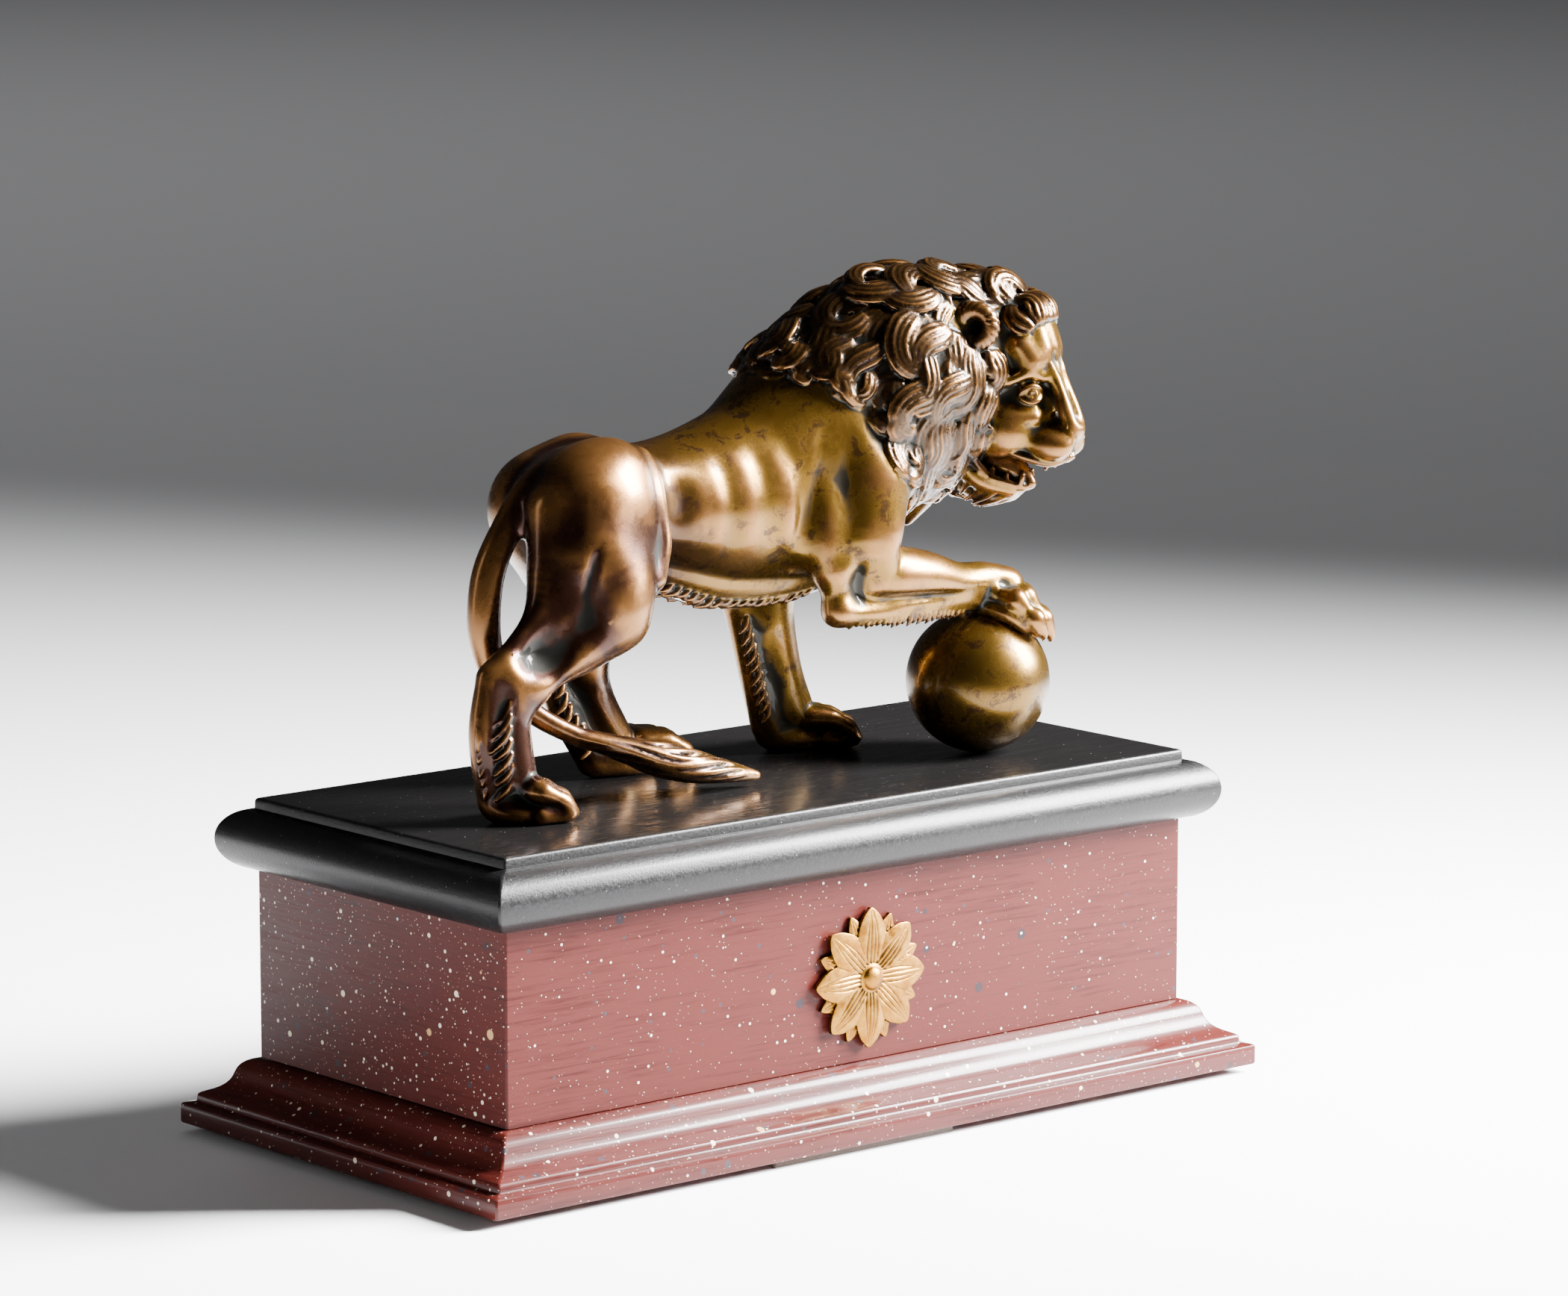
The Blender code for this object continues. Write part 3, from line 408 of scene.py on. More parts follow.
def patinated_bronze(name, brown, gold, blotch, hair, gold_from, gold_to):
    """Cast bronze, browned with chemicals, waxed and long handled.

    The patina is a thin skin of oxides, so it looks part metal and part paint, and the wax on it gives crisp
    white highlights. Handling has worn it to gold on the back and on every crest. The hollows and the gaps
    between the locks are painted almost black, partly for the dark patina and old wax there and partly as
    painted shade.
    """
    material, tree, shader = new_material(name, Metallic=0.88, Coat_Weight=0.22, Coat_Roughness=0.08)
    place = add_node(tree, "TexCoord", {}, out="Object")
    cloud = add_node(tree, "TexNoise", {"Vector": place, "Scale": per_mm(34), "Detail": 4, "Roughness": 0.55})
    mottle = add_node(tree, "TexNoise", {
        "Vector": place, "Scale": per_mm(6), "Detail": 8, "Roughness": 0.66, "Distortion": 0.5})
    grain = add_node(tree, "TexNoise", {
        "Vector": place, "Scale": per_mm(0.7), "Detail": 4, "Roughness": 0.75})
    along = add_node(tree, "SeparateXYZ", {0: place}, out="X")
    along = add_node(tree, "Math", {0: cloud, 1: 0.07, 2: along}, operation="MULTIPLY_ADD")
    along = add_node(tree, "MapRange", {0: along, 1: gold_from, 2: gold_to}, interpolation_type="SMOOTHSTEP")
    base = add_node(tree, "Mix", {0: along, 6: brown, 7: gold}, out=2, data_type="RGBA")
    # Blotches where the chemical lay thicker, with a fringe of fine dots round each
    lot = add_node(tree, "Math", {0: grain, 1: 0.3, 2: mottle}, operation="MULTIPLY_ADD")
    lot = add_node(tree, "MapRange", {0: lot, 1: 0.68, 2: 0.78, 4: 0.8}, interpolation_type="SMOOTHSTEP")
    base = add_node(tree, "Mix", {0: lot, 6: base, 7: blotch}, out=2, data_type="RGBA")
    locks = add_node(tree, "Attribute", {}, out="Fac", attribute_name="hair")
    share = add_node(tree, "Math", {0: locks, 1: 0.85}, operation="MULTIPLY")
    base = add_node(tree, "Mix", {0: share, 6: base, 7: hair}, out=2, data_type="RGBA")
    relief = add_node(tree, "Attribute", {}, out="Fac", attribute_name="relief")
    worn = add_node(tree, "MapRange", {0: relief, 1: 0.2, 2: 0.9, 4: 0.75}, interpolation_type="SMOOTHSTEP")
    base = add_node(tree, "Mix", {0: worn, 6: base, 7: linear("#7A5228")}, out=2, data_type="RGBA")
    # Hollows and gaps between the locks go almost black: partly dark patina and old wax, partly painted shade
    hollow_dark_and_shade = add_node(
        tree, "MapRange", {0: relief, 1: -0.05, 2: -0.55, 4: 0.95}, interpolation_type="SMOOTHSTEP")
    base = add_node(tree, "Mix", {0: hollow_dark_and_shade, 6: base, 7: linear("#0D0F0C")}, out=2, data_type="RGBA")
    tree.links.new(base, shader.inputs["Base Color"])
    rough = add_node(tree, "MapRange", {0: mottle, 1: 0.3, 2: 0.75, 3: 0.22, 4: 0.34})
    rough = add_node(tree, "Math", {0: hollow_dark_and_shade, 1: 0.35, 2: rough}, operation="MULTIPLY_ADD")
    tree.links.new(rough, shader.inputs["Roughness"])
    # Casting skin of about 0.3 mm, drawn at 0.7 mm, which is as fine as shows
    tree.links.new(add_node(tree, "Bump", {"Strength": 0.1, "Distance": 0.0004, "Height": grain}),
                   shader.inputs["Normal"])
    return material


def stone_paint(name, paint, varnish):
    """Oil paint brushed on wood to imitate porphyry: red-brown, streaked along the grain and spattered.

    The paint is matt between the brush strokes and the varnish shines on them, so light catches the streaks.
    """
    material, tree, shader = new_material(
        name, Specular_IOR_Level=0.08, Coat_Weight=varnish, Coat_Roughness=0.12)
    place = add_node(tree, "TexCoord", {}, out="Object")
    strokes = add_node(tree, "Mapping", {"Vector": place, "Scale": (0.05, 0.05, 1.0)})
    streak = add_node(tree, "TexNoise", {
        "Vector": strokes, "Scale": per_mm(1.1), "Detail": 5, "Roughness": 0.65, "Distortion": 0.3})
    cloud = add_node(tree, "TexNoise", {"Vector": place, "Scale": per_mm(45), "Detail": 3})
    cloud = add_node(tree, "Math", {0: cloud, 1: 0.5, 2: streak}, operation="MULTIPLY_ADD")
    tint = add_node(tree, "ValToRGB", {0: cloud}, stops=(
        (0.5, linear("#B98078")), (0.75, linear("#FFFFFF")), (1.0, linear("#FFEEE8"))))
    base = add_node(tree, "Mix", {0: 1.0, 6: paint, 7: tint}, out=2, data_type="RGBA", blend_type="MULTIPLY")
    # Flecks: about one in each cell of the spacing, as wide as the share of it, of which a part is kept
    for spacing, width, kept, colour in SPATTER:
        cells = add_node(tree, "TexVoronoi", {"Vector": place, "Scale": per_mm(spacing)}, out="Distance")
        odds = add_node(tree, "TexVoronoi", {"Vector": place, "Scale": per_mm(spacing)}, out="Color")
        chance = add_node(tree, "SeparateColor", {0: odds}, out="Red")
        chosen = add_node(tree, "Math", {0: chance, 1: kept}, operation="LESS_THAN")
        size = add_node(tree, "SeparateColor", {0: odds}, out="Green")
        size = add_node(tree, "Math", {0: size, 1: width, 2: width * 0.25}, operation="MULTIPLY_ADD")
        inside = add_node(tree, "Math", {0: size, 1: cells}, operation="SUBTRACT")
        inside = add_node(tree, "MapRange", {0: inside, 1: 0.0, 2: 0.02})
        inside = add_node(tree, "Math", {0: inside, 1: chosen}, operation="MULTIPLY")
        base = add_node(tree, "Mix", {0: inside, 6: base, 7: linear(colour)}, out=2, data_type="RGBA")
    tree.links.new(base, shader.inputs["Base Color"])
    tree.links.new(add_node(tree, "MapRange", {0: streak, 1: 0.3, 2: 0.75, 3: 0.3, 4: 0.52}),
                   shader.inputs["Roughness"])
    tree.links.new(add_node(tree, "Bump", {"Strength": 0.35, "Distance": 0.0003, "Height": streak}),
                   shader.inputs["Normal"])
    return material


def ebonised_wood(black):
    """Pear wood stained black and lacquered.

    The flat top is glossy with open pores along the grain. The rounded edges have a fine leathery skin
    that breaks the highlight up. Both hold a little pale dust.
    """
    material, tree, shader = new_material(
        "ebonised_lacquered_wood", Specular_IOR_Level=0.15, Coat_Weight=0.1, Coat_Roughness=0.16)
    place = add_node(tree, "TexCoord", {}, out="Object")
    grain = add_node(tree, "Mapping", {"Vector": place, "Scale": (0.05, 1.0, 1.0)})
    pores = add_node(tree, "TexNoise", {"Vector": grain, "Scale": per_mm(0.9), "Detail": 3, "Roughness": 0.6})
    leather = add_node(tree, "TexNoise", {
        "Vector": place, "Scale": per_mm(0.75), "Detail": 4, "Roughness": 0.65})
    upward = add_node(tree, "SeparateXYZ", {0: add_node(tree, "NewGeometry", {}, out="Normal")}, out="Z")
    top = add_node(tree, "MapRange", {0: upward, 1: 0.93, 2: 0.99})
    rubbed = add_node(tree, "MapRange", {0: leather, 1: 0.45, 2: 0.75})
    base = add_node(tree, "Mix", {0: rubbed, 6: black, 7: linear("#1B1C1E")}, out=2, data_type="RGBA")
    base = add_node(tree, "Mix", {0: top, 6: base, 7: black}, out=2, data_type="RGBA")
    # Dust specks of 0.1 mm, drawn at 0.15 mm, one to about 3 mm
    dust = add_node(tree, "TexVoronoi", {"Vector": place, "Scale": per_mm(3)}, out="Distance")
    dust = add_node(tree, "MapRange", {0: dust, 1: 0.06, 2: 0.04, 4: 0.7})
    base = add_node(tree, "Mix", {0: dust, 6: base, 7: linear("#8A857A")}, out=2, data_type="RGBA")
    tree.links.new(base, shader.inputs["Base Color"])
    edge = add_node(tree, "MapRange", {0: leather, 1: 0.35, 2: 0.7, 3: 0.28, 4: 0.46})
    flat = add_node(tree, "MapRange", {0: pores, 1: 0.4, 2: 0.7, 3: 0.16, 4: 0.32})
    tree.links.new(add_node(tree, "Mix", {0: top, 2: edge, 3: flat}, data_type="FLOAT"),
                   shader.inputs["Roughness"])
    cut = add_node(tree, "MapRange", {0: pores, 1: 0.36, 2: 0.46})
    height = add_node(tree, "Mix", {0: top, 2: leather, 3: cut}, data_type="FLOAT")
    tree.links.new(add_node(tree, "Bump", {"Strength": 0.5, "Distance": 0.0002, "Height": height}),
                   shader.inputs["Normal"])
    return material


def gilt_brass(gilt):
    """Cast and chased brass, fire gilt: dull pale gold on the crests, every groove dark, partly for wax left
    in it and partly as painted shade.
    """
    material, tree, shader = new_material("gilt_brass", Metallic=1.0)
    place = add_node(tree, "TexCoord", {}, out="Object")
    patch = add_node(tree, "TexNoise", {"Vector": place, "Scale": per_mm(4), "Detail": 5, "Roughness": 0.65})
    share = add_node(tree, "MapRange", {0: patch, 1: 0.35, 2: 0.7})
    base = add_node(tree, "Mix", {0: share, 6: gilt, 7: linear("#946C2C")}, out=2, data_type="RGBA")
    relief = add_node(tree, "Attribute", {}, out="Fac", attribute_name="relief")
    # Grooves go dark: partly wax left in them, partly painted shade
    hollow_dark_and_shade = add_node(tree, "MapRange", {0: relief, 1: 0.0, 2: -0.6, 4: 0.9}, interpolation_type="SMOOTHSTEP")
    base = add_node(tree, "Mix", {0: hollow_dark_and_shade, 6: base, 7: linear("#1E1408")}, out=2, data_type="RGBA")
    tree.links.new(base, shader.inputs["Base Color"])
    tree.links.new(add_node(tree, "MapRange", {0: patch, 1: 0.3, 2: 0.7, 3: 0.28, 4: 0.44}),
                   shader.inputs["Roughness"])
    grit = add_node(tree, "TexNoise", {"Vector": place, "Scale": per_mm(0.5), "Detail": 3, "Roughness": 0.6})
    tree.links.new(add_node(tree, "Bump", {"Strength": 0.25, "Distance": 0.0003, "Height": grit}),
                   shader.inputs["Normal"])
    return material


def wool_felt(brown):
    """Wool felt, matted and unwoven, so it is matt and has a short nap that lightens its edge."""
    material, tree, shader = new_material("wool_felt", Roughness=0.95, Sheen_Weight=0.4, Sheen_Roughness=0.5)
    place = add_node(tree, "TexCoord", {}, out="Object")
    nap = add_node(tree, "TexNoise", {"Vector": place, "Scale": per_mm(0.4), "Detail": 4, "Roughness": 0.7})
    share = add_node(tree, "MapRange", {0: nap, 1: 0.35, 2: 0.7})
    base = add_node(tree, "Mix", {0: share, 6: brown, 7: linear("#5A4334")}, out=2, data_type="RGBA")
    tree.links.new(base, shader.inputs["Base Color"])
    tree.links.new(add_node(tree, "Bump", {"Strength": 0.8, "Distance": 0.0004, "Height": nap}),
                   shader.inputs["Normal"])
    return material


def matt_sweep(pale):
    """Seamless paper sweep of a photographer's table: matt and even."""
    material, tree, shader = new_material("paper_sweep", Base_Color=pale, Roughness=0.8)
    return material


def new_piece(name, bm, material, scale=MM):
    """Puts a bmesh in a new object of the scene, scaled to metres."""
    bmesh.ops.scale(bm, verts=bm.verts, vec=(scale, scale, scale))
    mesh = bpy.data.meshes.new(name)
    bm.to_mesh(mesh)
    bm.free()
    mesh.polygons.foreach_set("use_smooth", [True] * len(mesh.polygons))
    item = bpy.data.objects.new(name, mesh)
    bpy.context.scene.collection.objects.link(item)
    if material:
        mesh.materials.append(material)
    return item


def settle(piece, slot, *nodes):
    """Lets a finished piece ride on the body and stand for its CAD nodes."""
    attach(piece, BODY)
    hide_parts(*nodes)


def smooth_path(stations, step):
    """Reads a smooth curve through the stations at about the given step, radii and all."""
    stations = [Vector(station) for station in stations]
    padded = [2 * stations[0] - stations[1]] + stations + [2 * stations[-1] - stations[-2]]
    path = []
    for before, here, there, after in zip(padded, padded[1:], padded[2:], padded[3:]):
        pieces = max(1, math.ceil((there - here).length / step))
        for piece in range(pieces):
            share = piece / pieces
            path.append(0.5 * (
                2 * here + (there - before) * share
                + (2 * before - 5 * here + 4 * there - after) * share ** 2
                + (3 * here - before - 3 * there + after) * share ** 3))
    return path + [stations[-1]]


def round_end(end, inner):
    """Gives the stations that close a limb's end with half a ball."""
    away = (end.xyz - inner.xyz).normalized()
    cap = []
    for angle in (30, 55, 75, 88):
        turn = math.radians(angle)
        place = end.xyz + away * end.w * math.sin(turn)
        cap.append(Vector((*place, end.w * math.cos(turn))))
    return cap


def add_limbs(bm, limbs, step=1.5, sides=4):
    """Adds round tapered limbs or strands, each a bevelled curve with round ends."""
    curve = bpy.data.curves.new("limbs", "CURVE")
    curve.dimensions = "3D"
    curve.bevel_depth = 1
    curve.bevel_resolution = sides
    curve.use_fill_caps = True
    for stations in limbs:
        path = smooth_path(stations, step) if step else [Vector(station) for station in stations]
        path = round_end(path[0], path[1])[::-1] + path + round_end(path[-1], path[-2])
        spline = curve.splines.new("POLY")
        spline.points.add(len(path) - 1)
        spline.points.foreach_set("co", [value for point in path for value in (*point.xyz, 1)])
        spline.points.foreach_set("radius", [max(point.w, 0.05) for point in path])
    item = bpy.data.objects.new("limbs", curve)
    bpy.context.scene.collection.objects.link(item)
    mesh = bpy.data.meshes.new_from_object(item.evaluated_get(bpy.context.evaluated_depsgraph_get()))
    bm.from_mesh(mesh)
    bpy.data.meshes.remove(mesh)
    bpy.data.objects.remove(item)
    bpy.data.curves.remove(curve)


def add_mass(bm, centre, radii, turn=(0, 0, 0), fineness=3):
    """Adds one ellipsoid: a muscle, a pad or a bone end."""
    angles = Euler([math.radians(angle) for angle in turn])
    matrix = Matrix.LocRotScale(Vector(centre), angles, Vector(radii))
    bmesh.ops.create_icosphere(bm, subdivisions=fineness, radius=1, matrix=matrix)


def from_nose(forward, left, up):
    """Turns a place in the head's frame into one in the lion's."""
    return NOSE + Matrix.Rotation(math.radians(FACE_TURN), 3, "Z") @ Vector((forward, left, up))


def head_limb(stations, side=1):
    """Gives a limb of the head, mirrored to one side, in the lion's frame."""
    return [(*from_nose(ahead, left * side, up), radius) for ahead, left, up, radius in stations]


def eye_middle(side):
    """Gives the middle of one eye in the head's frame."""
    return Vector((EYE_PLACE[0], EYE_PLACE[1] * side, EYE_PLACE[2]))


def sole_of_paw(heel, angle, length, width):
    """Gives the mass under a planted paw as centre, radii and turn."""
    turn = Matrix.Rotation(math.radians(angle), 3, "Z")
    centre = Vector(heel) + turn @ Vector((length * 0.4, 0, 3.4))
    return centre, (length * 0.4, width * 0.42, 5), (0, 0, angle)


def toes_of_paw(heel, angle, length, width):
    """Gives the four toes of a planted paw as limbs, knuckle, pad and claw."""
    turn = Matrix.Rotation(math.radians(angle), 3, "Z")
    toes = []
    for toe in range(TOES):
        across = (toe - (TOES - 1) / 2) * width / TOES * 1.14
        reach = length - 2.4 - 0.045 * across ** 2
        pads = (
            (length * 0.42, across * 0.6, 10, 4.2), (reach - 9.5, across * 0.9, 9.4, 3.5),
            (reach - 6, across, 7.6, 2.9), (reach - 3.4, across, 6, 3.3),
            (reach - 1.4, across * 1.03, 3.2, 2.9))
        sole = ((reach - 10, across * 0.9, 3, 3), (reach - 3, across, 2.6, 2.6))
        claw = (
            (reach - 1, across * 1.03, 4.4, 1.5), (reach + 1.4, across * 1.04, 3, 1),
            (reach + 2.4, across * 1.04, 1.2, 0.4))
        for bend in (pads, sole, claw):
            toes.append([(*(Vector(heel) + turn @ Vector(place)), radius) for *place, radius in bend])
    return toes


def toes_on_ball():
    """Gives the toes and claws of the raised paw, bent over the front of the ball."""
    ahead = Vector((math.cos(PAW_TURN), math.sin(PAW_TURN), 0))
    aside = Vector((-ahead.y, ahead.x, 0))
    toes = []
    for toe in range(TOES):
        across = (toe - (TOES - 1) / 2) * TOE_PITCH
        spread = 0.35 * across ** 2 / 8
        for bend in TOE_BENDS:
            stations = []
            for angle, reach, radius in bend:
                lean = math.radians(angle + spread * 2)
                away = ahead * math.cos(lean) + Vector((0, 0, math.sin(lean)))
                share = min(1, (95 - angle) / 35)
                place = BALL_PLACE + away * (reach - 0.02 * across ** 2) + aside * across * share
                stations.append((*place, radius))
            toes.append(stations)
    return toes


def ear_frame(side):
    """Gives an ear's middle and its turn, whose X runs out of the ear."""
    centre = from_nose(EAR_PLACE.x, EAR_PLACE.y * side, EAR_PLACE.z)
    return centre, Matrix.Rotation(math.radians(FACE_TURN + EAR_FACING * side), 3, "Z")


def modified(bm, kind, **settings):
    """Runs one modifier on a bmesh and gives the result as a new one."""
    item = new_piece("working", bm, None, scale=1)
    modifier = item.modifiers.new(kind, kind)
    for name, value in settings.items():
        setattr(modifier, name, value)
    evaluated = item.evaluated_get(bpy.context.evaluated_depsgraph_get())
    result = bmesh.new()
    result.from_mesh(evaluated.to_mesh())
    evaluated.to_mesh_clear()
    mesh = item.data
    bpy.data.objects.remove(item)
    bpy.data.meshes.remove(mesh)
    return result


def thinned(bm, most):
    """Thins a remeshed surface, whose faces have four sides, down to about a number of triangles."""
    triangles = 2 * len(bm.faces)
    return modified(bm, "DECIMATE", ratio=most / triangles) if triangles > most else bm


def limb_form(stations, blend):
    """Gives a limb as a form: its kind, its smooth path, how softly it joins and the box it lies in."""
    path = np.array([tuple(station) for station in smooth_path(stations, FORM_STEP)])
    reach = path[:, 3:].max() + abs(blend) + 2
    return "limb", path, blend, path[:, :3].min(axis=0) - reach, path[:, :3].max(axis=0) + reach


def mass_form(centre, radii, turn, blend):
    """Gives an ellipsoid as a form, turned by angles in degrees."""
    turned = np.array(Euler([math.radians(angle) for angle in turn]).to_matrix())
    reach = max(radii) + abs(blend) + 2
    centre = np.array(centre)
    return "mass", (centre, turned, np.array(radii)), blend, centre - reach, centre + reach


def ellipsoid_gap(offset, radii):
    """Gives about how far points, as offsets from an ellipsoid's middle, lie outside it."""
    near = np.linalg.norm(offset / radii, axis=1)
    slope = np.linalg.norm(offset / radii ** 2, axis=1)
    return near * (near - 1) / np.maximum(slope, 1e-6)


def gap_to_form(points, form):
    """Gives how far points lie outside one form, negative inside."""
    kind, shape = form[:2]
    if kind == "limb":
        gaps = np.full(len(points), 1e3)
        for start, end in zip(shape, shape[1:]):
            along = end[:3] - start[:3]
            share = np.clip((points - start[:3]) @ along / max(along @ along, 1e-9), 0, 1)
            away = np.linalg.norm(points - start[:3] - share[:, None] * along, axis=1)
            gaps = np.minimum(gaps, away - start[3] - share * (end[3] - start[3]))
        return gaps
    if kind == "trunk":
        x = np.clip(points[:, 0], shape[0, 0], shape[-1, 0])
        y, z, half_height, half_width = (np.interp(x, shape[:, 0], shape[:, i]) for i in (1, 2, 3, 4))
        offset = np.stack([points[:, 0] - x, points[:, 1] - y, points[:, 2] - z], axis=1)
        radii = np.stack([np.full_like(x, TRUNK_DEPTH), half_width, half_height], axis=1)
        return ellipsoid_gap(offset, radii)
    centre, turned, radii = shape
    return ellipsoid_gap((points - centre) @ turned, radii)


def gap_to_lion(points, forms):
    """Joins all forms softly, cuts the hollows out softly, and gives how far points lie outside."""
    gaps = np.full(len(points), 20.0)
    for form in forms:
        blend, low, high = form[2:]
        near = np.flatnonzero(((points > low) & (points < high)).all(axis=1))
        if not len(near):
            continue
        side = 1 if blend > 0 else -1
        here, there = gaps[near] * side, gap_to_form(points[near], form)
        blend = abs(blend)
        ease = np.maximum(blend - np.abs(here - there), 0) / blend
        gaps[near] = (np.minimum(here, there) - ease ** 2 * blend / 4) * side
    ribs = np.cos((points[:, 0] - RIB_SPAN[0]) * 2 * math.pi / RIB_PITCH + points[:, 2] * 0.06)
    x, y, z = points.T
    share = np.clip(np.minimum(x - RIB_SPAN[0], RIB_SPAN[1] - x) / 5, 0, 1)
    share = share * np.clip(np.minimum(z - RIB_RISE[0], RIB_RISE[1] - z) / 9, 0, 1)
    share = share * np.clip((np.abs(y) - 12) / 4, 0, 1)
    return gaps - ribs * share * RIB_HEIGHT


def lion_forms():
    """Lists every form of the lion under its hair, and then the hollows."""
    trunk = np.array([tuple(station) for station in smooth_path(TRUNK, FORM_STEP)])
    reach = np.array((TRUNK_DEPTH + 8, 34, 44))
    forms = [("trunk", trunk, 1.0, trunk[:, :3].min(axis=0) - reach, trunk[:, :3].max(axis=0) + reach)]
    forms.append(limb_form(KEEL, CRISP))
    forms += [limb_form(stations, SOFT) for stations in SOFT_LIMBS.values()]
    forms += [mass_form(*mass, SOFT) for mass in MASSES.values()]
    forms += [limb_form(stations, FIRM) for stations in FIRM_LIMBS.values()]
    forms += [mass_form(*sole_of_paw(*paw), FIRM) for paw in PAWS.values()]
    for paw in PAWS.values():
        forms += [limb_form(toe, SHARP) for toe in toes_of_paw(*paw)]
    forms += [limb_form(toe, SHARP) for toe in toes_on_ball()]
    for place, radii in HEAD_MASSES.values():
        forms.append(mass_form(from_nose(*place), radii, (0, 0, FACE_TURN), FIRM))
    for side in (-1, 1):
        forms += [limb_form(head_limb(stations, side), CRISP) for stations in HEAD_PAIRS.values()]
    forms.append(limb_form(head_limb(FOREHEAD_RIDGE), CRISP))
    forms += [mass_form(*hollow, -SOFT) for hollow in HOLLOWS.values()]
    forms += [mass_form(*crease, -CRISP) for crease in CREASES.values()]
    for side in (-1, 1):
        for (ahead, left, up), radii in HEAD_PITS.values():
            forms.append(mass_form(from_nose(ahead, left * side, up), radii, (0, 0, FACE_TURN), -CRISP))
        forms.append(mass_form(from_nose(*eye_middle(side)), [EYE_RADIUS] * 3, (0, 0, 0), EYE_BLEND))
    for place, radii in (MOUTH, THROAT_PIT):
        forms.append(mass_form(from_nose(*place), radii, (0, 0, FACE_TURN), -CRISP))
    return forms


def settled(bm, forms, turns):
    """Moves a rough skin on to the softly joined forms, a little at a time."""
    points = np.array([tuple(vert.co) for vert in bm.verts])
    step = 0.05
    for _ in range(turns):
        gaps = gap_to_lion(points, forms)
        slope = np.stack(
            [(gap_to_lion(points + step * axis, forms) - gaps) / step for axis in np.eye(3)], axis=1)
        size = np.maximum((slope ** 2).sum(axis=1), 0.2)
        points -= np.clip(gaps / size, -1.5, 1.5)[:, None] * slope
    for vert, point in zip(bm.verts, points):
        vert.co = point


def skin_of_lion():
    """Gives the lion's skin before the hair is laid on it."""
    bm = bmesh.new()
    for x, y, z, half_height, half_width in smooth_path(TRUNK, 2.5):
        add_mass(bm, (x, y, z), (TRUNK_DEPTH, half_width, half_height), fineness=2)
    for centre, radii, turn in MASSES.values():
        add_mass(bm, centre, radii, turn)
    for place, radii in HEAD_MASSES.values():
        add_mass(bm, from_nose(*place), radii, (0, 0, FACE_TURN))
    for side in (-1, 1):
        add_mass(bm, from_nose(*eye_middle(side)), [EYE_RADIUS] * 3)
    limbs = list(SOFT_LIMBS.values()) + list(FIRM_LIMBS.values()) + [KEEL] + toes_on_ball()
    for stations in HEAD_PAIRS.values():
        limbs += [head_limb(stations, side) for side in (-1, 1)]
    for paw in PAWS.values():
        add_mass(bm, *sole_of_paw(*paw))
        limbs += toes_of_paw(*paw)
    add_limbs(bm, limbs)
    forms = lion_forms()
    for voxel, turns in ((ROUGH_VOXEL, 4), (SKIN_VOXEL, 4)):
        bm = modified(bm, "REMESH", mode="VOXEL", voxel_size=voxel)
        settled(bm, forms, turns)
    bmesh.ops.smooth_vert(bm, verts=bm.verts, factor=0.5, use_axis_x=True, use_axis_y=True, use_axis_z=True)
    return bm


def eye_lids(side):
    """Gives the upper and lower lid of one eye, and the ring round its drilled pupil."""
    ahead, left = math.cos(EYE_OUTWARD), math.sin(EYE_OUTWARD) * side
    out, aside, up = Vector((ahead, left, 0)), Vector((-left * side, ahead * side, 0)), Vector((0, 0, 1))
    limbs = []
    for lift in (UPPER_LID, LOWER_LID):
        stations = []
        for step in range(11):
            share = step / 10
            round_eye = LID_REACH * (2 * share - 1)
            height = lift * math.sin(math.pi * share) ** 0.8 + 0.06 * (1 - 2 * share)
            level = out * math.cos(round_eye) + aside * math.sin(round_eye)
            away = level * math.cos(height) + up * math.sin(height)
            place = eye_middle(side) + away * (EYE_RADIUS + 0.25)
            stations.append((*from_nose(*place), 0.5 + 0.35 * math.sin(math.pi * share)))
        limbs.append(stations)
    ring = []
    for step in range(13):
        turn = 2 * math.pi * step / 12
        away = out + (aside * math.cos(turn) + up * math.sin(turn)) * 0.34
        place = eye_middle(side) + away.normalized() * (EYE_RADIUS + 0.05)
        ring.append((*from_nose(*place), 0.42))
    return limbs + [ring]


def face_details():
    """Gives lids, nostril wings, lips, teeth and tongue as limbs."""
    limbs = [head_limb(TONGUE)]
    for side in (-1, 1):
        limbs += eye_lids(side)
        limbs += [head_limb(stations, side) for stations in FACE_PAIRS.values()]
    return limbs


def tufted_ears():
    """Gives the rims of both ears as rings of short tufts that curl into the ear, and a cup behind them."""
    tufts = []
    for side in (-1, 1):
        centre, facing = ear_frame(side)
        for number in range(EAR_TUFTS):
            around = 2 * math.pi * number / EAR_TUFTS
            stations = []
            for bend in range(-150, 151, 25):
                lean = math.radians(bend)
                out = Vector((0, math.cos(around + 0.25 * lean), math.sin(around + 0.25 * lean)))
                spot = out * (EAR_RADIUS - EAR_RIM * math.sin(lean))
                spot += Vector((EAR_RIM * math.cos(lean), 0, 0))
                stations.append((*(centre + facing @ spot), 0.75))
            tufts.append(stations)
        for number in range(12):
            around = 2 * math.pi * number / 12
            out = Vector((0, math.cos(around), math.sin(around)))
            tufts.append([
                (*(centre + facing @ (out * wide + Vector((ahead, 0, 0)))), radius)
                for ahead, wide, radius in EAR_CUP])
    return tufts


def walk(skin, root, normal, flow, length, curl, swing, hook):
    """Walks over the skin from a root and gives each place, the way up from the skin and the way on."""
    place = root
    spine = []
    for number in range(LOCK_POINTS):
        share = number / (LOCK_POINTS - 1)
        heading = (flow - normal * flow.dot(normal)).normalized()
        turn = curl * share + swing * math.sin(2 * math.pi * (0.85 * share + 0.05)) + hook * share ** 4
        heading = Matrix.Rotation(turn, 3, normal) @ heading
        spine.append((place.copy(), normal.copy(), heading))
        place, normal, _, _ = skin.find_nearest(place + heading * length / LOCK_POINTS)
    return spine


